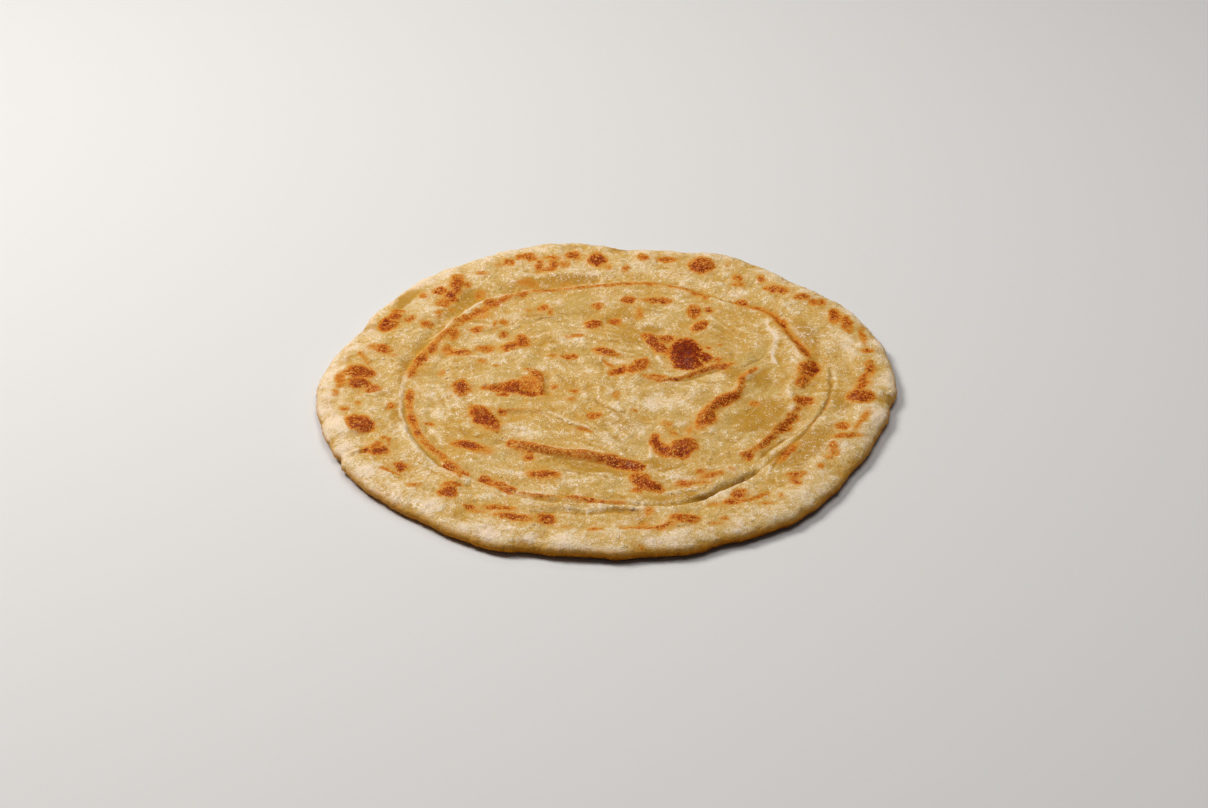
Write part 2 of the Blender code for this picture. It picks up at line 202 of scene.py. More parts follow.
# Blisters that the pan browned: centre, length, width, degrees turned, height
blisters = (
    (30, 20, 21, 12, 75, 0.9), (19, 28, 14, 6, -60, 0.6), (43, -13, 12, 6, 50, 0.4),
    (36, -26, 13, 7, 85, 0.5), (27, -44, 12, 9, 60, 0.8), (13, -67, 13, 9, -45, 0.6),
    (-43, -25, 18, 7, -62, 0.6), (-52, -4, 10, 6, 80, 0.6), (-33, 27, 12, 9, 50, 0.6),
    (-33, -4, 10, 8, 60, 0.6), (-55, 20, 10, 6, 0, 0.4), (-45, 40, 10, 8, 30, 0.5),
    (36, 40, 9, 6, 60, 0.6), (15, 61, 16, 6, -5, 0.5), (-4, 42, 8, 6, 45, 0.5),
    (13, 9, 12, 6, 60, 0.5), (0, 21, 9, 6, -25, 0.4), (-22, -62, 12, 6, -10, 0.4),
    (38, 87, 12, 10, 80, 0.7), (-3, 91, 10, 8, 70, 0.6), (-58, 69, 16, 9, 75, 0.5),
    (-24, 89, 11, 9, 0, 0.5), (67, 67, 10, 6, -30, 0.5), (89, 44, 16, 6, -60, 0.5),
    (93, -10, 15, 8, 80, 0.7), (88, -30, 12, 7, 65, 0.4), (73, -4, 12, 6, 90, 0.5),
    (45, -76, 12, 6, 40, 0.5), (25, -90, 14, 7, 20, 0.6), (-31, -86, 16, 7, -10, 0.5),
    (-54, -71, 11, 8, 80, 0.5), (-80, -45, 11, 9, 60, 0.5), (-87, -30, 14, 9, 50, 0.8),
    (-90, 2, 14, 12, 80, 0.6), (-84, 20, 9, 8, 60, 0.4), (-81, 45, 14, 8, 60, 0.5),
)

# Soft unevenness of the pressed dough: wavelength, direction in degrees, height
waves = ((47, 20, 0.16), (31, 75, 0.14), (21, 130, 0.10), (16, 40, 0.08))

# Browned patches: centre, width along X, height along Y, degrees turned, how dark
brownPatches = {
    "ring, back left": (
        (-57.5, 71.5, 4, 12, 0, 0.85), (-53.5, 71.5, 2.5, 4, 0, 0.6), (-64, 67, 5, 5, 0, 0.7),
        (-59.5, 63, 4, 6, 0, 0.9), (-62, 58, 5, 5, 0, 0.5), (-70, 63, 3, 4, 0, 0.45),
        (-48.5, 66, 4, 5, 0, 0.45), (-48, 80, 4, 3, 0, 0.45), (-38, 89, 3, 4, 0, 0.6),
        (-41.5, 87, 3, 3, 0, 0.3), (-31, 93.5, 8, 5, 0, 0.6), (-26, 87, 2.5, 6, 0, 0.7),
        (-23, 84.5, 5, 2.5, 0, 0.7), (-20, 88, 2.5, 6, 0, 0.7), (-21, 93, 5, 2.5, 0, 0.6),
        (-12.5, 95, 5, 5, 0, 0.65), (-16, 88, 4, 5, 0, 0.4), (-3, 91.5, 6, 9, 0, 0.95),
        (-30, 75, 8, 6, 0, 0.3), (-15, 75, 5, 4, 0, 0.25)),
    "ring, back right": (
        (1.5, 85, 4, 5, 0, 0.3), (8, 84.5, 2, 4, 0, 0.5), (15, 92.5, 4, 4, 0, 0.6),
        (24.5, 91.5, 7, 4, 0, 0.6), (38, 86.5, 9, 11, 0, 0.85), (48, 87, 2, 5, 0, 0.3),
        (52, 77, 3, 4, 0, 0.6), (52, 72, 4, 3, 0, 0.6), (61, 76, 2.5, 5, 0, 0.6),
        (65, 67.5, 5, 3.5, -20, 0.7), (68.5, 66, 4, 3.5, -20, 0.7), (75.5, 61, 5, 4, 0, 0.65),
        (80, 57, 2.5, 4, 0, 0.6), (83, 57, 3, 5, 0, 0.6), (87.5, 46.5, 3, 9, 0, 0.8),
        (91.5, 41, 3, 9, 0, 0.75), (97, 32, 2, 10, 0, 0.5), (97.5, 21, 4, 3, 0, 0.6)),
    "ring, front right": (
        (97.5, 8.5, 3, 8, 0, 0.7), (94, -2, 3, 12, -15, 0.8), (92.5, -12, 9, 8, 0, 0.9),
        (84.5, -30.5, 4, 5, 0, 0.7), (91.5, -27.5, 1.5, 10, -25, 0.5),
        (85.5, -38, 8, 3, 15, 0.7), (80, -44, 2.5, 3, 0, 0.6), (80.5, -48, 3, 3, 0, 0.6),
        (78, -51, 2, 2, 0, 0.5), (75, -57, 2, 3, 0, 0.5), (66, -62, 5, 3, 0, 0.65),
        (66, -66, 2.5, 4, 0, 0.6), (63.5, -47.5, 3, 11, -30, 0.65), (46, -74, 5, 5, 0, 0.7),
        (43, -79, 5, 3, 0, 0.9), (60, -75.5, 2, 3, 0, 0.35), (54.5, -80, 3, 1.5, 0, 0.5),
        (37, -80, 4, 3, 0, 0.35), (27, -89, 9, 6, 0, 0.7), (22, -93, 4, 2.5, 30, 0.5),
        (14.5, -94.5, 13, 1.5, 0, 0.55), (37.5, -91.5, 3, 1.5, 0, 0.5),
        (40, -89, 2, 1.5, 0, 0.5), (15, -84, 2.5, 4, 0, 0.5), (13, -91, 4, 3, 0, 0.3)),
    "ring, front left": (
        (-3.5, -95, 3.5, 2, 0, 0.5), (-13, -94, 3, 2, 0, 0.3), (-20, -88.5, 5, 7, 20, 0.75),
        (-31, -88, 10, 3, -15, 0.8), (-36, -82, 9, 3, -8, 0.7), (-46, -82, 3, 3, 0, 0.6),
        (-43, -84, 4, 1.5, -20, 0.4), (-53, -68.5, 5, 3, 0, 0.7), (-53.5, -73.5, 5, 6, 0, 0.95),
        (-65.5, -69, 4, 2, 0, 0.6), (-71, -56.5, 3.5, 4, 0, 0.9), (-79.5, -47, 6, 4, 0, 0.95),
        (-83.5, -46.5, 2.5, 3, 0, 0.7), (-80.5, -43, 3, 2.5, 0, 0.7), (-78, -39, 2, 2, 0, 0.6),
        (-87.5, -29.5, 8, 11, 30, 0.95), (-93.5, -19.5, 2.5, 3, 0, 0.6),
        (-89, -15.5, 1.5, 1.5, 0, 0.5), (-77.5, -16.5, 2, 3, 0, 0.6), (12, -105, 1, 1, 0, 0.6)),
    "ring, left": (
        (-84.5, -5, 5, 4, 0, 0.6), (-98, -8, 3, 4, 0, 0.3), (-90, 6, 10, 9, 0, 0.85),
        (-90, -2, 8, 6, 0, 0.8), (-97, 2.5, 2.5, 5, 0, 0.6), (-96.5, -2, 2, 4, 0, 0.55),
        (-82.5, 22, 5, 6, 0, 0.75), (-86, 23, 4, 4, 0, 0.4), (-79, 18, 3, 3, 0, 0.3),
        (-82.5, 40.5, 6, 9, 0, 0.78), (-79.5, 46, 3.5, 6, 0, 0.65), (-79, 50.5, 4, 3, 0, 0.6),
        (-74, 45, 3, 4, 0, 0.6), (-67.5, 42, 4, 5, 0, 0.6), (-63.5, 50, 2, 4, 0, 0.55),
        (-58.5, 53.5, 3, 3, 0, 0.35)),
    "along the coil line": (
        (-65, 24, 3, 6, -15, 0.75), (-68.5, 15.5, 3.5, 6, -10, 0.9), (-71, 5, 3, 4, 0, 0.7),
        (-55.5, 43.5, 3, 4, 0, 0.6), (-53, 46, 3, 3, 0, 0.6), (-57, 34, 3, 7, 0, 0.6),
        (-47.5, 51.5, 5, 4, 0, 0.7), (-44, 57, 5, 6, 0, 0.7), (-46, 48, 8, 5, 0, 0.3),
        (-32, 65, 4, 4, 0, 0.6), (-25, 68, 6, 4, 0, 0.7), (2, 71.5, 3, 2, 0, 0.5),
        (26, 70, 3, 2, 0, 0.5), (35, 65, 5, 3, -30, 0.65), (39, 62, 3, 3, 0, 0.5),
        (52.5, 57, 6, 5, -30, 0.65), (67, 42, 3, 5, 0, 0.85), (74, 23, 3, 5, 15, 0.85),
        (75, 9, 6, 12, -20, 0.85), (72.5, 0, 3, 6, -10, 0.75), (72, -12.5, 6, 5, 0, 0.8),
        (67, -25, 3, 5, -30, 0.8), (63, -31, 3.4, 7, -35, 0.85), (50, -49, 4, 4, 0, 0.8)),
    "disc, left": (
        (-54.5, 20.5, 8, 4, 0, 0.65), (-59, 23.5, 3, 4, 0, 0.6), (-44.5, 24, 6, 6, 0, 0.5),
        (-35.5, 24.5, 5, 5, 0, 0.9), (-31, 28.5, 4, 8, 10, 0.9), (-48.5, 37.5, 4, 4, 0, 0.6),
        (-41.5, 40.5, 1.5, 4, 0, 0.6), (-38, 43, 2, 3, 0, 0.6), (-38.5, 34, 3, 3, 0, 0.6),
        (-46, 15, 4, 4, 0, 0.3), (-40, 11.5, 2, 2, 0, 0.5), (-60, 6, 3, 5, 0, 0.3),
        (-52.5, -4, 4.5, 9, 0, 0.95), (-43, -4, 4, 4, 0, 0.6), (-33.5, -4, 7, 8, 0, 0.9),
        (-28.5, -2, 8, 13, 0, 0.42), (-39, -4, 8, 4.5, 0, 0.75),
        (-37, -9, 3, 3, 0, 0.7), (-27, -8, 5, 4, 0, 0.9), (-25.5, 6, 3, 5, 30, 0.7),
        (-18.5, -3, 2, 3, 0, 0.5), (-11, -5.5, 3, 2, 0, 0.6), (-12, -12, 2, 3, 0, 0.5),
        (-43, -25, 6.5, 17, 28, 0.95), (-37, -20.5, 3, 3, 0, 0.6), (-63, -28.5, 2, 2, 0, 0.6),
        (-48, -43, 10, 4.5, -20, 0.92), (-43, -46, 9, 6, 0, 0.32), (-27, -49.5, 3, 4, 0, 0.65),
        (-21.5, -61.5, 10, 4.5, 0, 0.8)),
    "disc, back": (
        (-13, 18, 5, 3.5, 20, 0.65), (-19, 18.5, 3, 2, 0, 0.5), (-11, 33, 6, 2, 10, 0.5),
        (-4.5, 42, 5, 6, -40, 0.9), (3.5, 45, 4, 4, 0, 0.6), (13, 50, 3, 8, 0, 0.4),
        (-3, 55.5, 4, 4, 0, 0.5), (9, 60.5, 5, 5, 0, 0.7), (20, 60, 10, 4, 0, 0.75),
        (34, 51, 4, 8, 0, 0.7), (39.5, 53, 3, 3, 0, 0.6), (36, 40, 7, 4, 60, 0.9),
        (-23.5, 53.5, 3, 4, 0, 0.6), (-21, 50.5, 2, 4, 0, 0.5), (-29.5, 53, 3, 3, 0, 0.3),
        (0, 21.5, 8, 4.5, -25, 0.85), (1.5, 13, 1.5, 4, 30, 0.55), (5, 7.5, 7, 4, 35, 0.85),
        (6.5, 11, 2, 2, 0, 0.6), (12.5, 10.5, 10, 5, 60, 0.8), (9, 8, 4, 3, 0, 0.7),
        (18.5, 3, 6, 2.5, 0, 0.6), (38.5, 24.5, 1, 1, 0, 0.8), (43.5, 26, 1, 1, 0, 0.7)),
    "darkest blister": (
        (30, 20, 11, 19, 0, 1.3), (29, 22, 7, 11, 10, 1.6), (37, 17, 5, 6, 0, 1.1),
        (30.5, 12, 9, 7, 0, 1.25), (19, 27, 13, 4, -60, 0.95), (23, 31, 6, 5, 0, 0.7),
        (16.5, 32, 3, 4, 0, 0.7)),
    "disc, front": (
        (4, -9, 3, 6, 0, 0.35), (-4, -23, 4, 4, 0, 0.7), (10.5, -19.5, 3, 2, 0, 0.4),
        (12, -64, 6, 6, 0, 0.85), (15.5, -69, 8, 5, -20, 0.95), (11, -71, 4, 4, 0, 0.5),
        (28, -66.5, 6, 3, 0, 0.65), (33, -66, 5, 2, 0, 0.5), (33, -59.5, 2.5, 3, 0, 0.65),
        (37, -61.5, 6, 2.5, 20, 0.65), (44, -58.5, 1.5, 1.5, 0, 0.5),
        (18.5, -42, 3.4, 10, 10, 1.0), (21, -46.5, 6, 5, -20, 0.85),
        (28, -44, 8, 10, -20, 0.9), (25, -48.5, 8, 4, 0, 0.9),
        (22, -29, 3, 5, 0, 0.35), (24, -35, 3, 4, 0, 0.4), (30, -33, 2, 4, 0, 0.4)),
    "disc, right": (
        (43, -13, 11, 5, 42, 0.95), (36, -26, 6, 12, -15, 0.8), (50, 1.5, 2.5, 3, 0, 0.7),
        (54, -13.5, 3, 4, 30, 0.55), (43, 11.5, 7, 3, 10, 0.75), (42, 15.5, 2, 3, 0, 0.6)),
}

# Browned lines along crests: the line's points, width, how dark
brownLines = {
    "coil, left": (
        ((-71, -3), (-70.8, -10), (-70, -20), (-67.5, -31), (-66, -36), (-62, -43),
         (-57, -49.5), (-52, -57)), 2.2, 0.72),
    "coil, front left wide": (((-56, -53.5), (-52, -58), (-48, -62.5)), 4.2, 0.8),
    "coil, front left dark": (((-43.5, -62.5), (-38, -67), (-30.5, -72)), 3.2, 0.95),
    "coil, front": (((-31, -72), (-24, -74.5), (-16, -76), (-4, -78), (9, -78.5)), 1.2, 0.55),
    "coil, front dark": (((-14, -75.6), (-9, -76.6), (-4, -77.6)), 1.9, 0.85),
    "coil, back left": (
        ((-71, 1), (-71, 8), (-69, 15), (-65, 24), (-60, 34), (-55, 42), (-49, 50),
         (-43, 57), (-37, 62), (-31, 65)), 2.5, 0.56),
    "coil, back": (
        ((-31, 65), (-22, 68), (-10, 69.5), (0, 71.5), (8, 73), (15, 73), (24, 71),
         (33, 66.5), (40, 61.5)), 2.3, 0.62),
    "coil, back right": (
        ((47, 58.5), (54, 55.5), (60, 52.5), (64.5, 47), (67, 41), (69, 35), (71.5, 29),
         (74, 22), (76, 15)), 3.0, 0.74),
    "coil, right": (
        ((76, 15), (75.5, 9), (73, 2), (70.3, -4)), 4.0, 0.7),
    "coil, tail": (
        ((73, -9), (71, -14), (68.5, -20), (66, -26), (62, -32), (57, -40), (52, -46.5),
         (47, -50.5)), 1.9, 0.74),
    "long ridge": (
        ((-36, -40.5), (-29, -43), (-18, -46.5), (-9, -48.5), (-3, -50.5), (3, -52),
         (9, -55), (14, -59)), 3.0, 0.74),
    "long ridge, left end": (((-35, -41), (-30, -42.5), (-24, -45)), 4.4, 0.85),
    "long ridge, dark end": (((1, -51.5), (5, -53.5), (9, -55.5), (13.5, -58.5)), 4.4, 0.98),
    "right ridge": (
        ((57, 10.5), (53, 6), (50, 1), (49.6, -4), (48, -8.5), (44, -12)), 2.0, 0.74),
    "right ridge, wide": (((46, -10), (41.5, -14.5), (37.5, -20), (35.5, -27)), 3.6, 0.72),
    "torn flake": (
        ((13, 5), (17, 2.5), (22, 0.6), (28, 2.6), (34, 7.2), (40, 10.4), (48, 11.2)), 1.3, 0.8),
    "front line": (((7.5, -94.6), (13, -94.8), (18, -94.5), (23, -93)), 1.3, 0.8),
    "left strand": (((-38, -19.5), (-30, -19.3), (-22, -20.5)), 1.2, 0.5),
    "small arc": (((-31, 10), (-26, 8), (-24, 2), (-23.3, -5), (-23, -10)), 2.0, 0.8),
    "below raised bubble": (((-31, -7), (-27.5, -9), (-24, -8.5)), 2.6, 0.9),
    "brown tail": (((-10, -31), (-7, -33), (-4, -35)), 1.6, 0.55),
    "front streak": (((46, -79), (52, -76), (56, -72)), 1.6, 0.62),
    "left streak": (((-78.5, -57), (-74, -60), (-70, -62)), 1.2, 0.6),
    "left edge streak": (((-91.5, 20.5), (-89, 16), (-87, 12)), 1.6, 0.55),
    "cluster streak": (((-76.5, -38), (-76, -44)), 1.0, 0.55),
    "coil crack": (((82, -8), (79, -19), (75, -26), (71.5, -32)), 0.6, 0.34),
}

# Where butter soaked in and the dough is translucent gold: ellipses as for the patches
greasyZones = (
    (55, -24, 20, 34, -25, 0.9), (47, 6, 9, 9, 0, 1.0), (58, 4, 10, 20, 0, 0.6),
    (10, 33, 26, 18, 0, 0.6), (-2, -56, 36, 8, -22, 1.0), (-22, 76, 44, 10, 14, 0.75),
    (-54, 60, 12, 30, -38, 0.8), (72, -42, 14, 40, -35, 0.7), (24, -75, 24, 9, 12, 0.6),
    (10, -87, 34, 8, 4, 0.3), (-16, -81, 26, 4, 0, 0.5), (76, 30, 10, 40, 12, 0.6),
    (-75, 8, 8, 24, 0, 0.5), (-74, -22, 8, 20, 10, 0.5), (12, 52, 30, 14, 0, 0.4),
    (-25, 27, 22, 14, 0, 0.4), (5, -26, 22, 12, -30, 0.4), (40, 30, 16, 18, 0, 0.4),
    (-20, 52, 30, 16, 12, 0.35), (20, -55, 20, 10, -20, 0.5), (85, -8, 8, 30, 0, 0.5),
    (6, 46, 16, 9, 0, 0.8), (-20, 0, 14, 14, 0, 0.45), (-45, -36, 26, 8, -30, 0.5),
    (60, -52, 26, 10, -50, 0.5), (24, 20, 60, 8, 5, 0.3), (-5, -75, 60, 5, -3, 0.3),
)

# Dry, floury or bright places
paleZones = (
    (91, 25, 7, 24, 6, 0.9), (64, 30, 3.5, 26, 2, 1.0), (63.5, 14, 3.5, 10, 20, 0.7),
    (67, -6, 2.5, 14, 0, 0.7), (-30, -33, 22, 10, -20, 0.9), (20, -14, 24, 12, 0, 0.5),
    (-101, 0, 8, 90, 0, 0.9), (-92, 30, 12, 40, -20, 0.6), (-27, 0, 3.5, 8, 10, 0.15),
    (-8, 5, 12, 12, 0, 0.5), (-32, -55, 14, 10, -20, 0.6), (-5, -64, 20, 8, 0, 0.5),
    (-45, 30, 14, 10, 0, 0.4), (5, 23, 8, 14, 0, 0.4), (0, -99, 110, 8, 0, 0.5),
    (-60, -83, 40, 9, -38, 0.6), (40, 100, 50, 6, -20, 0.15), (-40, 97, 40, 8, 25, 0.2),
    (-73.5, -8, 2, 40, 2, 0.9), (-62, -14, 6, 40, 8, 0.5), (21.5, 14, 4, 9, 20, 0.6),
    (72, 34, 5, 14, 12, 0.6), (-42, 20, 16, 8, 0, 0.4), (85, -22, 6, 12, 0, 0.5),
    (14, 88, 56, 14, -4, 0.3), (-62, 72, 20, 40, -40, 0.2), (-45, 84, 40, 8, 30, 0.2),
    (-77, 60, 12, 26, -35, 0.45),
)

# Pale crests and strands, dry where they stand up: the line's points, width, how pale
paleLines = {
    "coil crest, back left": (
        ((-41, 62), (-48, 57.5), (-54.5, 49), (-60, 40), (-65, 30), (-69, 21)), 1.2, 0.55),
    "coil crest, left": (
        ((-69, 21), (-72, 10), (-73, 2), (-73.5, -8), (-73.5, -18), (-72, -26), (-70, -33),
         (-66, -43), (-62, -50)), 1.2, 0.6),
    "coil crest, front": (((-62, -50), (-56, -58), (-48, -66), (-38, -71), (-28, -75)), 1.4, 0.7),
    "right crest": (
        ((60.5, 47), (62, 38), (64, 31), (62.5, 22), (62.3, 17), (64.5, 10)), 2.6, 1.0),
    "right crest, lower": (((67, -2), (66.5, -10), (68, -14), (66.5, -20)), 1.6, 0.8),
    "double strand": (((67, -35), (62, -42), (58, -48), (55, -54), (53.5, -59)), 1.7, 0.7),
    "double strand, outer": (((66, -41), (61.5, -49), (58, -56), (56, -62)), 1.1, 0.6),
    "right ring": (((84, 8), (84.5, 0), (83.5, -6)), 1.4, 0.8),
    "streak 1": (((-19, -22), (-13, -27), (-7, -31), (0, -36)), 0.9, 0.3),
    "streak 2": (((-3, -10), (0, -14), (4, -18), (7, -19)), 0.8, 0.55),
    "streak 3": (((-7, -27), (-3, -31)), 1.2, 0.6),
    "streak 4": (((3, -29), (8, -32)), 1.2, 0.6),
    "strand 1": (((-64, 5), (-62, -5), (-61, -15), (-57, -28)), 1.2, 0.55),
    "strand 2": (((-59, -6), (-57, -16), (-53, -26)), 1.0, 0.35),
    "strand 3": (((-66, -20), (-62, -32), (-57, -42)), 1.2, 0.7),
    "flake 1": (((15.5, -43), (15.8, -51)), 1.3, 1.0),
    "flake 2": (((18.5, 18), (21.5, 12.5)), 1.4, 1.0),
    "flake 3": (((24, 13), (25.5, 9.5)), 1.4, 1.0),
    "lip, long ridge": (((-36, -38), (-29, -40.5), (-18, -44), (-8, -46), (2, -48.5)), 1.2, 0.6),
    "lower ridge": (((16, -58.5), (22, -62), (30, -64)), 1.4, 0.5),
}

# Narrow cracks between layers: the line's points, half width, depth, and how dark the shade painted
# into them is
cracks = {
    "outer coil": (
        ((82.5, 12), (82.5, 5), (82, -3), (81, -10), (79, -17), (77, -21.5), (74.5, -27),
         (72, -32), (70, -35.5), (66.5, -40)), 0.4, 0.3, 0.9),
    "strand, inner side": (((65, -36), (60.5, -41), (56.5, -46.5), (53.5, -52)), 0.4, 0.5, 0.6),
    "strand, outer side": (((64.5, -43), (61, -50), (57.5, -59)), 0.4, 0.5, 0.6),
    "gap": (
        ((53.5, -59), (49.5, -62.3), (45.5, -66), (41, -70), (36, -72.8), (31.5, -75.5)),
        1.1, 0.7, 0.45),
    "gap, dark edge": (
        ((54, -57.5), (50, -61), (46.5, -64), (42.5, -68.5), (39.5, -70.8), (35, -72.8),
         (30, -75.8)), 0.45, 0.35, 0.85),
    "front crease": (((2, -81.5), (14, -83)), 0.4, 0.4, 0.5),
    "front crease, left": (((-26, -84), (-20, -82.5), (-8, -83.5)), 0.8, 0.4, 0.45),
    "notch": (((-101, -52.5), (-96, -50.5)), 0.5, 0.5, 0.3),
    "below long ridge": (((-28, -45), (-15, -49.5), (-5, -52), (5, -55.5)), 0.7, 0.5, 0.45),
    "hollow's far side": (((-16, -56.5), (-5, -60.5), (7, -65)), 0.5, 0.3, 0.5),
    "left of crest": (((-74.8, 6), (-75.2, -8), (-75, -20), (-72, -30)), 0.5, 0.2, 0.25),
    "right crest": (((65.5, 38), (66.5, 32), (65, 24)), 0.5, 0.2, 0.2),
    "torn flake": (((20, 0.5), (28, 1.5), (34, 5), (42, 9.3), (51, 10)), 0.5, 0.25, 0.3),
    "torn flake, end": (((51, 11), (54, 13), (57, 16.5)), 0.5, 0.4, 0.5),
    "middle": (((-4, -11), (-1, -16), (4, -20), (8, -21)), 0.4, 0.35, 0.55),
    "middle, lower": (((-18, -24), (-12, -29), (-5, -34)), 0.4, 0.35, 0.5),
    "left pit": (((-40.5, -0.5), (-38.5, -3.5)), 0.7, 0.4, 0.6),
    "coil, back": (((-14, 71), (-6, 72), (3, 73.2)), 0.5, 0.3, 0.4),
}

# Fine relief of the skin, in millimetres
skin = {
    "marbleLength": 8.5,      # cream and gold parts, drawn out along the coil
    "marbleWidth": 6.5,
    "marbleHeight": 0.11,
    "lumpSize": 9.0,
    "lumpHeight": 0.48,
    "ringLumpSize": 17.0,     # outside the coil the dough is lumpier
    "ringLumpHeight": 0.55,
    "pebbleSize": 2.4,
    "pebbleHeight": 0.22,
    "grainSize": 1.35,
    "grainHeight": 0.2,
    "domeSpacing": 4.6,
    "domeShare": 0.5,
    "domeHeight": 0.26,
    "sheetLength": 17.0,      # torn sheets of dough, each a step higher
    "sheetWidth": 11.0,
    "sheetHeight": 0.06,
    "sheetCount": 3.0,
    "bend": 14.0,             # how far the marbling and the sheets stray from the coil's turn
    "bendSize": 30.0,
    "coreRadius": 12.0,       # inside this they have no direction
    "coreFade": 22.0,
    "wander": 0.3,            # how far a fold, a strand or a crack strays from its line
    "lipSharpness": 0.22,
    "foldLipFade": 3.0,
    "strandFade": 1.3,
    "strandGroove": 0.3,      # share of its rise that a strand's outer side is cut in
    "paleLineHeight": 0.15,
    "narrowestCrack": 0.6,    # half width that the mesh can still show
    "brownInside": 1.3,       # how far inside a patch's edge it reaches full depth
    "brownOutside": 1.9,      # and how far outside the last of it ends
}


def smoothThrough(points, spacing=10):
    # A smooth curve through the points, with this many samples for each stretch
    knots = np.array(points, float)
    knots = np.vstack((2 * knots[0] - knots[1], knots, 2 * knots[-1] - knots[-2]))
    share = (np.arange(spacing) / spacing)[:, None]
    runs = []
    for before, here, there, after in zip(knots, knots[1:], knots[2:], knots[3:]):
        slopeHere = (there - before) / 2
        slopeThere = (after - here) / 2
        gap = there - here
        runs.append(
            here
            + slopeHere * share
            + (3 * gap - 2 * slopeHere - slopeThere) * share**2
            + (slopeHere + slopeThere - 2 * gap) * share**3
        )
    return np.vstack((*runs, knots[-2]))


def smoothStep(share):
    share = np.clip(share, 0.0, 1.0)
    return share * share * (3 - 2 * share)


def bump(distance, halfWidth):
    return np.exp(-((distance / halfWidth) ** 2))


def degreesAt(x, y):
    return np.degrees(np.arctan2(y, x))


def softNoise(x, y, size, seed):
    # Smooth lattice noise from about -1 to 1, with bumps of this size. Each use has its own seed.
    cells = 256
    lean = np.random.default_rng(seed).uniform(0, 2 * math.pi, (cells, cells))
    columns = np.floor(x / size).astype(int)
    rows = np.floor(y / size).astype(int)
    fx = x / size - columns
    fy = y / size - rows
    wx = smoothStep(fx)
    wy = smoothStep(fy)
    total = np.zeros_like(fx)
    for dx, shareX in ((0, 1 - wx), (1, wx)):
        for dy, shareY in ((0, 1 - wy), (1, wy)):
            angle = lean[(columns + dx) % cells, (rows + dy) % cells]
            slope = np.cos(angle) * (fx - dx) + np.sin(angle) * (fy - dy)
            total += shareX * shareY * slope
    return total * 1.5


def layeredNoise(x, y, size, seed, layers=3, fade=0.55):
    total = np.zeros_like(x)
    for layer in range(layers):
        total += fade**layer * softNoise(x, y, size / 2**layer, seed + layer)
    return total


def scatteredDomes(x, y, spacing, share, seed):
    # Round domes of mixed width, one at most in each cell, from 0 to 1
    cells = 512
    smallest = 0.16
    largest = 0.46
    random = np.random.default_rng(seed)
    shiftX = random.uniform(0.1, 0.9, (cells, cells))
    shiftY = random.uniform(0.1, 0.9, (cells, cells))
    radius = random.uniform(smallest, largest, (cells, cells))
    there = random.uniform(0, 1, (cells, cells)) < share
    columns = np.floor(x / spacing).astype(int)
    rows = np.floor(y / spacing).astype(int)
    best = np.zeros_like(x)
    for dx in (-1, 0, 1):
        for dy in (-1, 0, 1):
            i = (columns + dx) % cells
            j = (rows + dy) % cells
            offX = x / spacing - (columns + dx + shiftX[i, j])
            offY = y / spacing - (rows + dy + shiftY[i, j])
            far = np.hypot(offX, offY) / radius[i, j]
            dome = np.clip(1 - far**2, 0, 1) * (radius[i, j] / largest) * there[i, j]
            best = np.maximum(best, dome)
    return best


outlineCurve = smoothThrough(
    [(angle - 360, radius) for angle, radius in outlineKnots[-2:]]
    + list(outlineKnots)
    + [(angle + 360, radius) for angle, radius in outlineKnots[:2]]
)
coilCurve = smoothThrough(coilKnots)


def outlineRadius(degrees):
    degrees = degrees % 360
    radius = np.interp(degrees, outlineCurve[:, 0], outlineCurve[:, 1])
    return radius - notch["depth"] * bump(degrees - notch["angle"], notch["halfAngle"])


def coilRadius(turn):
    return np.interp(turn, coilCurve[:, 0], coilCurve[:, 1])


def besideLine(x, y, points, reach):
    # The places within reach of a line: which they are, their share of the way along it,
    # and how far off it they are, + to its left
    line = smoothThrough(points)
    low = line.min(axis=0) - reach
    high = line.max(axis=0) + reach
    near = np.flatnonzero((x > low[0]) & (x < high[0]) & (y > low[1]) & (y < high[1]))
    along = np.gradient(line, axis=0)
    along /= np.hypot(along[:, 0], along[:, 1])[:, None]
    offX = x[near, None] - line[None, :, 0]
    offY = y[near, None] - line[None, :, 1]
    squared = offX**2 + offY**2
    nearest = squared.argmin(axis=1)
    pick = np.arange(len(near))
    offX = offX[pick, nearest]
    offY = offY[pick, nearest]
    across = along[nearest, 0] * offY - along[nearest, 1] * offX
    distance = np.sqrt(squared[pick, nearest])
    atEnd = (nearest == 0) | (nearest == len(line) - 1)
    side = np.where(atEnd, distance * np.sign(across), across)
    close = distance < reach
    return near[close], (nearest / (len(line) - 1))[close], side[close]


def wanderingLine(x, y, points, reach, noiseSize, seed, ends, start=0.0):
    # The places beside a line that strays a little: which they are, how far off the line they
    # are, and a share that falls to nothing near its ends
    near, share, side = besideLine(x, y, points, reach)
    side = side + skin["wander"] * softNoise(x[near], y[near], noiseSize, seed)
    return near, side, smoothStep(np.minimum(share, 1 - share) / ends + start)


def lipShape(side, fade):
    # A layer's edge: full height at the line, fading back under side < 0, nothing beyond
    edge = 1 / (1 + np.exp(np.clip(side / skin["lipSharpness"], -30, 30)))
    return edge * np.exp(-np.abs(side) / fade)


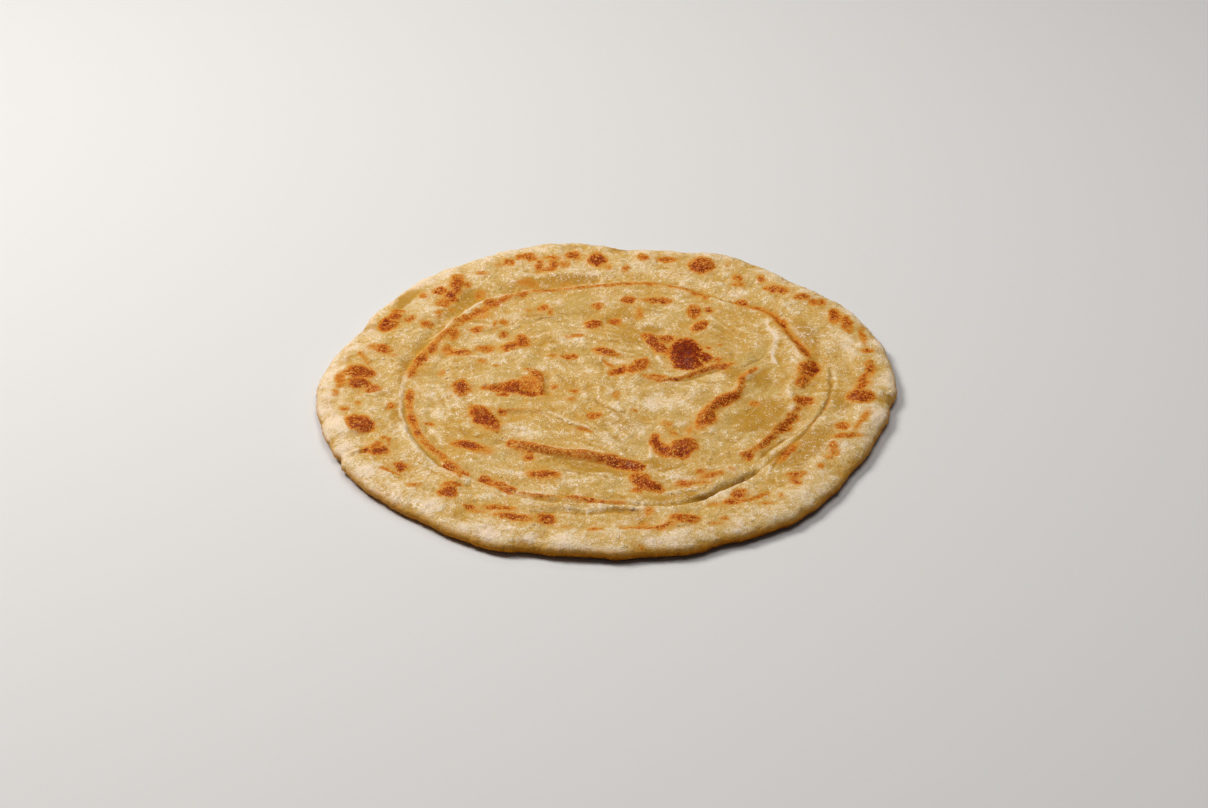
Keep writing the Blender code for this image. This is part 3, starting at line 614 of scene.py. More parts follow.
def coilRelief(x, y):
    degrees = degreesAt(x, y)
    radius = np.hypot(x, y)
    section = np.array(coilSection, float)
    height = np.zeros_like(x)
    wander = 0.35 * softNoise(x, y, 5.0, 31)
    for winding in (0.0, 360.0):
        turn = (coilStartAngle - degrees) % 360 + winding
        inUse = turn <= coilEndTurn
        line = coilRadius(turn)
        slope = np.radians(1) * line
        lean = (coilRadius(turn + 0.5) - coilRadius(turn - 0.5)) / slope
        side = (radius - line) / np.sqrt(1 + lean**2) + wander
        values = [np.interp(turn, section[:, 0], column) for column in section.T[1:]]
        crest, crestWidth, crestPlace, groove, grooveWidth, groovePlace, lip, lipFade = values
        part = crest * bump(side - crestPlace, crestWidth)
        part -= groove * bump(side - groovePlace, grooveWidth)
        part += np.abs(lip) * lipShape(side * np.sign(lip), lipFade)
        height += np.where(inUse, part, 0.0)
    return height


def foldRelief(x, y):
    height = np.zeros_like(x)
    for points, crest, crestWidth, hollow, hollowWidth, hollowPlace, lip in folds.values():
        near, side, fade = wanderingLine(x, y, points, 24.0, 3.5, 37, 0.14)
        part = crest * bump(side, crestWidth)
        part -= hollow * bump(side - hollowPlace, hollowWidth)
        part += abs(lip) * lipShape(-side * np.sign(lip), skin["foldLipFade"])
        height[near] += fade * part
    return height


def strandRelief(x, y):
    height = np.zeros_like(x)
    for order, (points, rise) in enumerate(strands):
        near, side, fade = wanderingLine(x, y, points, 6.0, 2.5, 41, 0.3)
        turned = 1 if order % 2 else -1
        part = lipShape(side * turned, skin["strandFade"])
        part -= skin["strandGroove"] * bump(side - 0.9 * turned, 0.7)
        height[near] += fade * rise * part
    return height


def ellipseReach(x, y, row):
    # How far out each place is in an ellipse: 0 at its middle, 1 at its edge
    centreX, centreY, wide, tall, turned = row
    angle = math.radians(turned)
    dx = x - centreX
    dy = y - centreY
    along = (dx * math.cos(angle) + dy * math.sin(angle)) / (wide / 2)
    across = (dy * math.cos(angle) - dx * math.sin(angle)) / (tall / 2)
    return np.sqrt(along**2 + across**2)


def blisterRelief(x, y):
    height = np.zeros_like(x)
    warpX = x + 1.1 * softNoise(x, y, 5.0, 43)
    warpY = y + 1.1 * softNoise(x, y, 5.0, 44)
    for row in blisters:
        height += row[5] * smoothStep(1.4 - ellipseReach(warpX, warpY, row[:5]))
    return height


def waveRelief(x, y):
    height = np.zeros_like(x)
    for order, (length, direction, rise) in enumerate(waves):
        angle = math.radians(direction)
        along = x * math.cos(angle) + y * math.sin(angle)
        across = y * math.cos(angle) - x * math.sin(angle)
        phase = 1.7 * order
        height += rise * np.sin(2 * math.pi * along / length + phase) * np.cos(
            2 * math.pi * across / (1.3 * length) - phase
        )
    return height


def discShare(x, y):
    # 1 inside the coil line, 0 outside it
    line = coilRadius((coilStartAngle - degreesAt(x, y)) % 360)
    return smoothStep((line - np.hypot(x, y)) / 4 + 0.5)


def brownEdge(outside):
    # Share of the browning this many millimetres outside a patch's edge, minus for inside
    band = skin["brownInside"] + skin["brownOutside"]
    return smoothStep((skin["brownOutside"] - outside) / band)


def patchField(x, y, rows):
    # The darkest of the ellipses at each place
    field = np.zeros_like(x)
    for row in rows:
        reach = max(row[2], row[3]) * 0.6 + 2
        near = np.flatnonzero((np.abs(x - row[0]) < reach) & (np.abs(y - row[1]) < reach))
        outside = (ellipseReach(x[near], y[near], row[:5]) - 1) * min(row[2], row[3]) / 2
        field[near] = np.maximum(field[near], row[5] * brownEdge(outside))
    return field


def zoneField(x, y, rows):
    # How much each place is in any of the soft ellipses
    clear = np.ones_like(x)
    for row in rows:
        clear *= 1 - row[5] * smoothStep(1.3 - ellipseReach(x, y, row[:5]))
    return 1 - clear


def brownField(x, y):
    # How browned each place is, with ragged patches and calmer lines
    warpX = x + 0.9 * softNoise(x, y, 4.2, 51) + 0.55 * softNoise(x, y, 1.9, 52)
    warpY = y + 0.9 * softNoise(x, y, 4.2, 53) + 0.55 * softNoise(x, y, 1.9, 54)
    calmX = x + 0.35 * (warpX - x)
    calmY = y + 0.35 * (warpY - y)
    field = np.zeros_like(x)
    for rows in brownPatches.values():
        field = np.maximum(field, patchField(warpX, warpY, rows))
    for points, width, depth in brownLines.values():
        near, share, side = besideLine(calmX, calmY, points, width + 2)
        fade = smoothStep(np.minimum(share, 1 - share) / 0.1 + 0.2)
        uneven = 0.8 + 0.45 * softNoise(x[near], y[near], 6.0, 56)
        # thin lines have crisper edges
        sharp = 1 + 0.8 * min(max((3 - width) / 2, 0), 1)
        part = depth * fade * uneven * brownEdge((np.abs(side) - width / 2) * sharp)
        field[near] = np.maximum(field[near], part)
    return field * (1 + 0.2 * layeredNoise(x, y, 2.6, 57, 2))


def alongCoilNoise(x, y, length, width, seed, layers):
    # Noise drawn out around the coil, blended from two sheets so that neither seam shows
    bendX = x + skin["bend"] * softNoise(x, y, skin["bendSize"], seed)
    bendY = y + skin["bend"] * softNoise(x, y, skin["bendSize"], seed + 1)
    radius = np.hypot(bendX, bendY)
    angle = np.arctan2(bendY, bendX)
    behind = np.arctan2(-bendY, -bendX)
    toFront = 0.5 + 0.5 * np.cos(angle)
    reach = radius + skin["coreRadius"]
    fade = 0.6
    front = layeredNoise(angle * reach / length, radius / width, 1.0, seed + 2, layers, fade)
    back = layeredNoise(behind * reach / length, radius / width, 1.0, seed + 12, layers, fade)
    around = (front * toFront + back * (1 - toFront)) / np.hypot(toFront, 1 - toFront)
    # the middle of the coil has no such direction
    leanX = (bendX + bendY) / length
    leanY = (bendY - bendX) / width
    plain = layeredNoise(leanX, leanY, 1.0, seed + 22, layers, fade)
    out = smoothStep((radius - skin["coreRadius"]) / skin["coreFade"])
    return (around * out + plain * (1 - out)) / np.hypot(out, 1 - out)


def sheetField(x, y):
    # Torn sheets that lie on one another: flat steps with an edge between, patchy
    torn = smoothStep(softNoise(x, y, 17, 79) * 1.8 + 0.3)
    slope = alongCoilNoise(x, y, skin["sheetLength"], skin["sheetWidth"], 61, 2)
    slope = skin["sheetCount"] * slope
    step = np.floor(slope)
    return (step + smoothStep((slope - step - 0.8) / 0.2) - 0.35 * (slope - step)) * torn


def marbleField(x, y):
    return alongCoilNoise(x, y, skin["marbleLength"], skin["marbleWidth"], 85, 2)


def lineField(x, y, lines, soft):
    # How much each place is on one of the lines, wandering a little off them
    field = np.zeros_like(x)
    for row in lines.values():
        points, width, *_, strength = row
        near, side, fade = wanderingLine(x, y, points, width + 2, 2.2, 47, 0.12, 0.15)
        part = strength * fade * bump(side, width * soft)
        field[near] = np.maximum(field[near], part)
    return field


def crackRelief(x, y):
    height = np.zeros_like(x)
    for points, halfWidth, depth, _ in cracks.values():
        near, side, fade = wanderingLine(x, y, points, 4 * halfWidth + 1, 2.2, 47, 0.12, 0.15)
        height[near] -= depth * fade * bump(side, max(halfWidth, skin["narrowestCrack"]))
    return height


def skinDetail(x, y):
    # Everything finer than the folds: lumps, marbling, pebbles, domes, torn sheets. The inner
    # disc is flatter and more torn than the ring, and buttered places are smooth.
    inner = discShare(x, y)
    smooth = zoneField(x, y, greasyZones)
    lively = smoothStep(softNoise(x, y, 16, 79) * 1.2 + 0.55)
    marble = skin["marbleHeight"] * marbleField(x, y) * (0.35 + 0.65 * inner)
    lumps = skin["lumpHeight"] * softNoise(x, y, skin["lumpSize"], 70) * (1.3 - 0.3 * inner)
    lumps += skin["ringLumpHeight"] * softNoise(x, y, skin["ringLumpSize"], 69) * (1 - inner)
    pebbles = skin["pebbleHeight"] * layeredNoise(x, y, skin["pebbleSize"], 71, 2)
    grain = skin["grainHeight"] * softNoise(x, y, skin["grainSize"], 75)
    domes = scatteredDomes(x, y, skin["domeSpacing"], skin["domeShare"], 77)
    domes *= skin["domeHeight"] * (0.3 + 0.7 * lively)
    sheets = skin["sheetHeight"] * sheetField(x, y) * inner
    fine = (pebbles + grain) * (1 - 0.25 * inner) + domes + sheets
    return lumps + marble + fine * (1 - 0.55 * smooth)


def topHeight(x, y):
    # Height of the top skin in millimetres, before the rim rolls down
    degrees = degreesAt(x, y)
    radius = np.hypot(x, y)
    edge = outlineRadius(degrees)
    coil = coilRadius((coilStartAngle - degrees) % 360)
    share = np.clip((radius - coil) / (edge - coil), 0.0, 1.0)
    crown = bread["ringCrown"] * np.sin(math.pi * share) ** 2
    inside = edge - radius
    puff = bread["rimPuff"] * bump(inside - bread["rimPuffPlace"], bread["rimPuffWidth"])
    form = coilRelief(x, y) + foldRelief(x, y) + blisterRelief(x, y) + waveRelief(x, y)
    form += strandRelief(x, y) + crackRelief(x, y)
    form += skin["paleLineHeight"] * lineField(x, y, paleLines, 0.7)
    kept = smoothStep(inside / bread["rimRollWidth"])
    kept = bread["edgeRelief"] + (1 - bread["edgeRelief"]) * kept
    return bread["skinHeight"] + (crown + puff + form) * kept


def belowCeiling(height):
    # Peaks are pressed softly under the highest point of the solid
    ceiling = cadBox[1][2] / mm
    room = bread["ceilingRoom"]
    over = np.maximum(height - (ceiling - room), 0.0)
    return np.minimum(height, ceiling - room) + room * (1 - np.exp(-over / room))


def squareToDisc(a, b):
    # Squares of a grid from -1 to 1 laid out as a disc of radius 1, with even areas
    alongX = np.abs(a) > np.abs(b)
    big = np.where(alongX, a, b)
    small = np.where(alongX, b, a)
    swing = (math.pi / 4) * np.divide(small, big, out=np.zeros_like(big), where=big != 0)
    x = np.where(alongX, big * np.cos(swing), big * np.sin(swing))
    y = np.where(alongX, big * np.sin(swing), big * np.cos(swing))
    return x, y


def discGrid(side, reach):
    # Points and square faces of a disc, and its border in order, anticlockwise
    steps = np.linspace(-1, 1, side + 1)
    a, b = np.meshgrid(steps, steps, indexing="ij")
    x, y = squareToDisc(a.ravel(), b.ravel())
    far = reach(degreesAt(x, y))
    index = np.arange((side + 1) ** 2).reshape(side + 1, side + 1)
    faces = np.stack(
        (index[:-1, :-1], index[1:, :-1], index[1:, 1:], index[:-1, 1:]), axis=-1
    ).reshape(-1, 4)
    border = np.concatenate(
        (index[:-1, 0], index[-1, :-1], index[:0:-1, -1], index[0, :0:-1])
    )
    return x * far, y * far, faces, border


def shoulderRadius(degrees):
    return outlineRadius(degrees) - bread["rimRollWidth"]


def underRadius(degrees):
    return outlineRadius(degrees) - bread["footInset"] - bread["underGap"]


def rolledPlaces(degrees, lean):
    # The rounded rim: lean 0 where the skin starts to roll down, 90 at the widest line and
    # 180 at the foot. Gives the radius and the height there, and which way the wall faces.
    angle = np.radians(degrees)
    edge = outlineRadius(degrees)
    turn = math.radians(lean)
    out = abs(math.sin(turn)) ** (2 / bread["rimSquareness"])
    up = abs(math.cos(turn)) ** (2 / bread["rimSquareness"])
    if lean <= 90:
        inset = bread["rimRollWidth"] * (1 - out)
        start = shoulderRadius(degrees)
        top = topHeight(start * np.cos(angle), start * np.sin(angle))
        rise = (top - bread["rimWidestHeight"]) * up
    else:
        inset = bread["footInset"] * (1 - out)
        rise = np.full(len(degrees), -bread["rimWidestHeight"] * up)
    radius = edge - inset
    return radius, bread["rimWidestHeight"] + rise, math.sin(turn), math.cos(turn)


def leanSteps(start, steps):
    return [start + 90 * step / steps for step in range(1, steps + 1)]


def joiningFans(fine, coarse, every):
    # Triangles between a fine ring and a coarse one inside it, both closed
    fans = []
    half = every // 2
    for i, here in enumerate(coarse):
        there = coarse[(i + 1) % len(coarse)]
        run = [fine[(i * every + k) % len(fine)] for k in range(every + 1)]
        for k in range(every):
            fans.append((run[k], here if k < half else there, run[k + 1]))
        fans.append((run[half], here, there))
    return np.array(fans)


def makeDough():
    # One closed mesh: top sheet, rolled rim and underside. "paper" holds each point's place
    # with the skin unrolled flat, and how far its fine relief stands out.
    topX, topY, topFaces, border = discGrid(bread["gridSide"], shoulderRadius)
    points = [np.stack((topX, topY, topHeight(topX, topY) + skinDetail(topX, topY)), axis=1)]
    paper = [np.stack((topX, topY, np.zeros_like(topX)), axis=1)]
    faces = [topFaces]
    ring = border
    total = len(topX)
    degrees = degreesAt(topX[border], topY[border])
    angle = np.radians(degrees)
    startRadius = shoulderRadius(degrees)
    walked = np.zeros(len(border))
    lastRadius = startRadius
    lastHeight = points[0][border, 2]
    for lean in leanSteps(0, bread["rollSteps"]) + leanSteps(90, bread["underRollSteps"]):
        radius, height, outward, upward = rolledPlaces(degrees, lean)
        walked = walked + np.hypot(radius - lastRadius, height - lastHeight)
        lastRadius = radius
        lastHeight = height
        paperX = (startRadius + walked) * np.cos(angle)
        paperY = (startRadius + walked) * np.sin(angle)
        # the relief fades out under the rim
        detail = skinDetail(paperX, paperY) * min((180 - lean) / 60, 1.0)
        outAt = radius + detail * outward
        heightAt = np.maximum(height + detail * upward, 0.0) if lean < 180 else height
        points.append(np.stack((outAt * np.cos(angle), outAt * np.sin(angle), heightAt), axis=1))
        paper.append(np.stack((paperX, paperY, detail), axis=1))
        newRing = total + np.arange(len(border))
        faces.append(np.stack((ring, newRing, np.roll(newRing, -1), np.roll(ring, -1)), axis=1))
        ring = newRing
        total += len(border)
    every = bread["underEvery"]
    underX, underY, underFaces, underBorder = discGrid(bread["gridSide"] // every, underRadius)
    under = np.stack((underX, underY, np.zeros_like(underX)), axis=1)
    points.append(under)
    paper.append(under)
    faces.append(underFaces[:, ::-1] + total)
    fans = joiningFans(ring, underBorder + total, every)
    places = np.vstack(points)
    places[:, 2] = belowCeiling(places[:, 2])
    return places, np.vstack(paper), np.vstack(faces), fans, len(topX)


def boxCentre():
    # The folds are measured from the coil's middle; the bread's box is centred on the origin
    angle = np.radians(np.arange(0, 360, 0.5))
    radius = outlineRadius(np.degrees(angle))
    x = radius * np.cos(angle)
    y = radius * np.sin(angle)
    return np.array(((x.min() + x.max()) / 2, (y.min() + y.max()) / 2))


def toMetres(places):
    return ((places - np.append(boxCentre(), 0.0)) * mm).tolist()


def gridBlur(values, passes):
    # Average over neighbours on the top sheet's square grid
    side = bread["gridSide"]
    table = values.reshape(side + 1, side + 1)
    for _ in range(passes):
        padded = np.pad(table, 1, mode="edge")
        beside = padded[:-2, 1:-1] + padded[2:, 1:-1] + padded[1:-1, :-2] + padded[1:-1, 2:]
        table = (beside + 2 * table) / 6
    return table.ravel()


def store(mesh, name, values):
    attribute = mesh.attributes.new(name, "FLOAT", "POINT")
    attribute.data.foreach_set("value", np.ascontiguousarray(values, np.float32))


def addObject(name, data):
    added = bpy.data.objects.new(name, data)
    bpy.context.scene.collection.objects.link(added)
    return added


# How the finish follows the shape, in millimetres and degrees
finish = {
    "nearBlur": 5,            # passes over the grid that even out the finest relief
    "wideBlur": 60,
    "warmBlur": 30,
    "nearWeight": 1.6,        # how much standing out of what is near counts, and of what is wide
    "wideWeight": 0.7,
    "rimWeight": 1.3,
    "wallShadeDepth": 3.2,         # the painted shade on the rim's wall is full this far below the skin
    "wallShadeReach": 7.0,
    "wallShadeSide": 295,          # where the painted shade on the wall is darkest, and by how much it varies round the rim
    "wallShadeSwing": 0.42,
    # the side where the rim is painted lightest, as if lit, and by how much that varies round the
    # rim
    "litRimSide": 205,
    "litRimSwing": 0.25,
    "paleReach": 13.0,
    "ringPale": 0.3,
    "zonePale": 0.7,
    "bubblyPatch": 11.0,      # bubbles come in patches of this size
    "bubblyBottom": 2.4,      # and between these heights
    "bubblyTop": 6.75,
}


def finishFields(places, paper, topCount):
    # What the finish needs at each point, by the name of its attribute
    x, y, detail = paper.T
    heights = places[:topCount, 2]
    near = heights - gridBlur(heights, finish["nearBlur"])
    wide = heights - gridBlur(heights, finish["wideBlur"])
    raised = np.clip(detail * finish["rimWeight"] - 0.1, -1, 1)
    raised[:topCount] = near * finish["nearWeight"] + wide * finish["wideWeight"]
    raised = np.clip(raised, -1, 1)
    brown = brownField(x, y)
    warm = brown.copy()
    warm[:topCount] = gridBlur(brown[:topCount], finish["warmBlur"])
    grease = zoneField(x, y, greasyZones)
    disc = discShare(x, y)
    top = np.ones(len(x))
    top[-((bread["gridSide"] // bread["underEvery"] + 1) ** 2):] = 0.0
    degrees = degreesAt(x, y)
    fromEdge = np.maximum(outlineRadius(degrees) - np.hypot(x, y), 0)

    # painted shade on the rim's wall: darker further down, darkest on the front right, away from the
    # lamps
    swing = finish["wallShadeSwing"] * np.cos(np.radians(degrees - finish["wallShadeSide"]))
    depth = bread["skinHeight"] + 0.2 - places[:, 2]
    foot = np.clip(depth / finish["wallShadeDepth"], 0, 1) * (1 - finish["wallShadeSwing"] + swing)
    foot = foot * smoothStep((finish["wallShadeReach"] - fromEdge) / 4)

    # the rim's flour, with painted light: paler on the left, towards the lamp, less pale on the far
    # side
    swing = finish["litRimSwing"] * np.cos(np.radians(degrees - finish["litRimSide"]))
    rimFlourAndLight = (1 - finish["litRimSwing"] + swing) * smoothStep((finish["paleReach"] - fromEdge) / 9)
    rimFlourAndLight = rimFlourAndLight * (0.85 + 0.6 * softNoise(x, y, 7, 91))
    pale = np.maximum(zoneField(x, y, paleZones), rimFlourAndLight)
    pale = pale + finish["ringPale"] * (1 - disc) * (1 - brown) * (1 - grease)
    flour = np.maximum(pale * finish["zonePale"], lineField(x, y, paleLines, 0.6))

    # bubbles: only on level, plain dough
    bubbly = smoothStep(0.55 + 1.3 * softNoise(x, y, finish["bubblyPatch"], 97))
    bubbly = bubbly * (1 - 0.7 * grease) * (1 - 0.6 * np.clip(brown, 0, 1))
    bubbly = bubbly * smoothStep((places[:, 2] - finish["bubblyBottom"]) / 0.8)
    bubbly = bubbly * smoothStep((finish["bubblyTop"] - places[:, 2]) / 0.2)
    bubbly = bubbly * smoothStep((0.4 - np.abs(raised)) / 0.3) * np.clip(1 - flour, 0, 1)
    return {
        "browning": brown * top,
        "grease": grease * top,
        "flour": flour * top,
        "warmth": warm * top,
        "marble": marbleField(x, y) * (0.55 + 0.45 * disc),
        "crack": lineField(x, y, cracks, 1.0) * top,
        "raised": raised * top,
        "foot": foot * top,
        "under": 1 - top,
        "bubbly": bubbly * top,
    }


def buildDoughObject():
    places, paper, quads, fans, topCount = makeDough()
    mesh = bpy.data.meshes.new("dough")
    mesh.from_pydata(toMetres(places), [], quads.tolist() + fans.tolist())
    mesh.update()
    mesh.shade_smooth()
    for name, values in finishFields(places, paper, topCount).items():
        store(mesh, name, values)
    return addObject("dough", mesh)


class Wire:
    # An output socket that can be worked with like a number
    def __init__(self, sheet, socket):
        self.sheet = sheet
        self.socket = socket

    def __add__(self, other):
        return self.sheet.maths("ADD", self, other)

    def __radd__(self, other):
        return self.sheet.maths("ADD", other, self)

    def __sub__(self, other):
        return self.sheet.maths("SUBTRACT", self, other)

    def __rsub__(self, other):
        return self.sheet.maths("SUBTRACT", other, self)

    def __mul__(self, other):
        return self.sheet.maths("MULTIPLY", self, other)

    def __rmul__(self, other):
        return self.sheet.maths("MULTIPLY", other, self)


class NodeSheet:
    # A node tree with one way to add a node
    def __init__(self, tree):
        self.tree = tree

    def node(self, kind, settings=None, inputs=None, output=0):
        made = self.tree.nodes.new(kind)
        for name, value in (settings or {}).items():
            if name == "stops":
                self.setStops(made.color_ramp, value)
            else:
                setattr(made, name, value)
        for name, value in (inputs or {}).items():
            if isinstance(value, Wire):
                self.tree.links.new(value.socket, made.inputs[name])
            else:
                made.inputs[name].default_value = value
        return Wire(self, made.outputs[output])

    def setStops(self, ramp, stops):
        while len(ramp.elements) < len(stops):
            ramp.elements.new(1.0)
        for element, (place, colour) in zip(ramp.elements, stops):
            element.position = place
            element.color = (*colour, 1.0)

    def maths(self, operation, first, second, clamp=False):
        return self.node(
            "ShaderNodeMath", {"operation": operation, "use_clamp": clamp}, {0: first, 1: second}
        )

    def ease(self, value, low, high):
        # 0 below low, 1 above high, smooth between
        return self.node(
            "ShaderNodeMapRange",
            {"interpolation_type": "SMOOTHSTEP"},
            {"Value": value, "From Min": low, "From Max": high},
        )

    def blend(self, factor, first, second):
        return self.node(
            "ShaderNodeMix", {"data_type": "RGBA"}, {0: factor, 6: first, 7: second}, 2
        )

    def paint(self, factor, under, colour):
        # a plain colour over another by this share
        return self.blend(factor, under, (*colour, 1.0))

    def recipe(self, given, parts):
        # a sum of the given values, each by its weight, with "plus" added as it is
        total = parts.get("plus", 0.0)
        for name, weight in parts.items():
            if name != "plus":
                total = total + given[name] * weight
        return total

    def noise(self, place, size, detail):
        # size in millimetres
        return self.node(
            "ShaderNodeTexNoise",
            {},
            {"Vector": place, "Scale": 1 / (size * mm), "Detail": detail, "Roughness": 0.6},
        )

    def attribute(self, name):
        return self.node("ShaderNodeAttribute", {"attribute_name": name}, {}, "Fac")

    def field(self, name):
        # an attribute inside a Geometry Nodes tree
        return self.node("GeometryNodeInputNamedAttribute", {"data_type": "FLOAT"}, {"Name": name})


# The finish of the dough. Its colours are shares of red, green and blue.
crust = {
    "gold": (0.525, 0.285, 0.050),
    "khaki": (0.51, 0.322, 0.086),
    "middle": (0.605, 0.387, 0.127),
    "cream": (0.71, 0.54, 0.305),
    "floury": (0.80, 0.62, 0.46),
    "buttery": (0.43, 0.215, 0.018),
    "warm": (0.58, 0.29, 0.055),
    # painted shade down the rim's wall: gold, then amber, then near-black brown at the bottom
    "wallGold": (0.56, 0.27, 0.035),
    "amber": (0.52, 0.185, 0.004),
    "footBrown": (0.17, 0.045, 0.0),
    # painted shade in the cracks
    "crackShadeOlive": (0.25, 0.105, 0.010),
    # painted glints, on plain dough and on browned places
    "glintCream": (0.86, 0.72, 0.51),
    "glintOnBrown": (0.62, 0.25, 0.03),
    "char": (0.13, 0.010, 0.0),
    "toastStops": (
        (0.00, (0.58, 0.335, 0.075)),
        (0.20, (0.58, 0.228, 0.018)),
        (0.42, (0.485, 0.108, 0.001)),
        (0.62, (0.35, 0.040, 0.0)),
        (0.80, (0.23, 0.018, 0.0)),
        (1.00, (0.11, 0.004, 0.0)),
    ),
    "toastScale": 0.75,       # how far up that scale the browning goes
    "attributes": (
        "browning", "grease", "flour", "raised", "marble", "warmth", "crack", "foot", "under",
    ),
    # noises: size in millimetres, detail
    "noises": {
        "mottle": (2.6, 3.0),
        "fine": (0.9, 2.0),
        "grit": (0.45, 1.0),
        "broad": (12.0, 2.0),
        "speck": (1.3, 1.0),
    },
    "hueNoise": (17.0, 1.0),
    "underNoise": (11.0, 4.0),
    "underBrown": 0.8,
    "flourCalm": 0.4,         # floury places are evener
    # what each look is made of
    "paleness": {"raised": 0.5, "marble": 0.4, "broad": 1.9, "flour": 0.8, "plus": 0.24},
    "paleGrain": {"mottle": 1.3, "fine": 1.4, "grit": 1.8},
    "soaking": {
        "grease": 1.0, "marble": -0.3, "broad": 1.2, "raised": -0.35, "mottle": 0.4, "plus": 0.06,
    },
    "dryness": {
        "flour": 0.6, "raised": 0.5, "marble": 0.35, "broad": 1.2,
        "mottle": 1.9, "fine": 2.3, "grit": 2.4,
    },
    "stripes": {"flour": 1.0, "fine": 0.5, "mottle": 0.4},
    # painted shade: the lower a place lies below its surroundings, the darker buttery gold it is
    # painted
    "sinking": {"raised": -1.0},
    # painted shade on the rim's wall, a little broken up
    "wall": {"foot": 1.0, "mottle": 0.35, "fine": 0.15},
    "crumbs": {"mottle": 0.9, "speck": 0.8, "fine": 1.6, "grit": 1.7, "raised": -0.1},
    "charring": {"toast": 0.75, "speck": 1.6, "grit": 1.6},
    # painted glints: where bright specks are painted
    "paintedGlint": {"grit": 0.8, "fine": 1.1, "mottle": 0.7, "raised": 0.12},
    "gloss": {"soaked": -0.08, "dry": 0.14, "fine": 0.3, "browned": 0.1, "plus": 0.5},
    "oil": {"fine": 1.8, "mottle": 1.5, "broad": 1.0, "dry": -0.6, "plus": 0.2},
    "bump": {"grit": 0.35, "fine": 0.7, "mottle": 0.45},
    # layers of colour: what it follows, where it starts and is full, how strong, colour
    "layers": (
        ("paleness", -0.2, 0.5, 1.0, "middle"),
        ("paleness", 0.35, 1.0, 1.0, "cream"),
        ("soaking", 0.12, 0.8, 0.92, "buttery"),
        ("dryness", 0.46, 1.0, 0.85, "floury"),
        ("stripes", 0.68, 1.0, 0.6, "floury"),
        ("warmth", 0.02, 0.36, 0.7, "warm"),
        # painted shade in the hollows
        ("sinking", 0.25, 0.95, 0.75, "buttery"),
        # painted shade down the rim's wall
        ("wall", 0.08, 0.5, 0.9, "wallGold"),
        ("wall", 0.4, 0.85, 1.0, "amber"),
        ("wall", 0.78, 1.05, 0.9, "footBrown"),
    ),
    "charStrength": 0.7,
    "crackShadeStrength": 0.9,
    "glintStrength": 0.6,
    "glintOnBrownStrength": 0.45,
    "oilStrength": 0.75,
    "brownOil": 0.05,
    "bumpDepth": 0.45 * mm,
    "sockets": {
        "IOR": 1.45,
        "Specular IOR Level": 0.08,
        "Coat Roughness": 0.22,
        "Subsurface Weight": 0.15,
        "Subsurface Radius": (1.0, 0.5, 0.2),
        "Subsurface Scale": 0.5 * mm,
    },
}


def doughColour(sheet, place, given):
    # Plain dough: gold or khaki in its hollows, cream on what stands up, then its other layers,
    # among them painted shade in the hollows and down the rim's wall
    calm = 1 - given["flour"] * crust["flourCalm"]
    given["paleness"] = (
        sheet.recipe(given, crust["paleness"]) + sheet.recipe(given, crust["paleGrain"]) * calm
    )
    for name in ("soaking", "dryness", "stripes", "sinking", "wall"):
        given[name] = sheet.recipe(given, crust[name])
    hue = sheet.ease(sheet.noise(place, *crust["hueNoise"]), 0.42, 0.62)
    colour = sheet.paint(hue, (*crust["gold"], 1.0), crust["khaki"])
    for follows, start, full, strength, tone in crust["layers"]:
        share = sheet.ease(given[follows], start, full)
        colour = sheet.paint(share * strength, colour, crust[tone])
    return sheet.paint(given["under"], colour, crust["middle"])


def toastedColour(sheet, place, given, colour):
    # Browned patches over it, ragged with crumbs, with spots where the underside lay on the pan, and
    # painted shade in the cracks
    underSpots = sheet.ease(sheet.noise(place, *crust["underNoise"]), 0.5, 0.72)
    toast = given["browning"] + underSpots * given["under"] * crust["underBrown"]
    crumbs = sheet.recipe(given, crust["crumbs"])
    toast = toast + crumbs * (0.35 + sheet.ease(toast, 0.3, 0.75)) * sheet.ease(toast, 0.0, 0.3)
    given["toast"] = toast
    given["browned"] = sheet.ease(toast, 0.1, 0.5)
    scale = {"Fac": toast * crust["toastScale"]}
    brown = sheet.node("ShaderNodeValToRGB", {"stops": crust["toastStops"]}, scale, "Color")
    colour = sheet.blend(sheet.ease(toast, 0.03, 0.42), colour, brown)
    charred = sheet.ease(sheet.recipe(given, crust["charring"]), 0.7, 1.15)
    colour = sheet.paint(charred * crust["charStrength"], colour, crust["char"])
    # painted shade in the cracks
    return sheet.paint(given["crack"] * crust["crackShadeStrength"], colour, crust["crackShadeOlive"])


def paintedGlintColour(sheet, given, colour):
    # Painted glints: bright specks painted into the colour where oily bumps would catch the light,
    # lighter brown ones on browned places
    paintedGlint = sheet.ease(sheet.recipe(given, crust["paintedGlint"]), 0.15, 0.38)
    dull = given["browned"] + sheet.ease(given["foot"], 0.1, 0.5) + given["soaked"] * 0.5
    bright = sheet.maths("SUBTRACT", 1, dull, True)
    colour = sheet.paint(paintedGlint * bright * crust["glintStrength"], colour, crust["glintCream"])
    onBrown = paintedGlint * given["browned"] * crust["glintOnBrownStrength"]
    return sheet.paint(onBrown, colour, crust["glintOnBrown"])


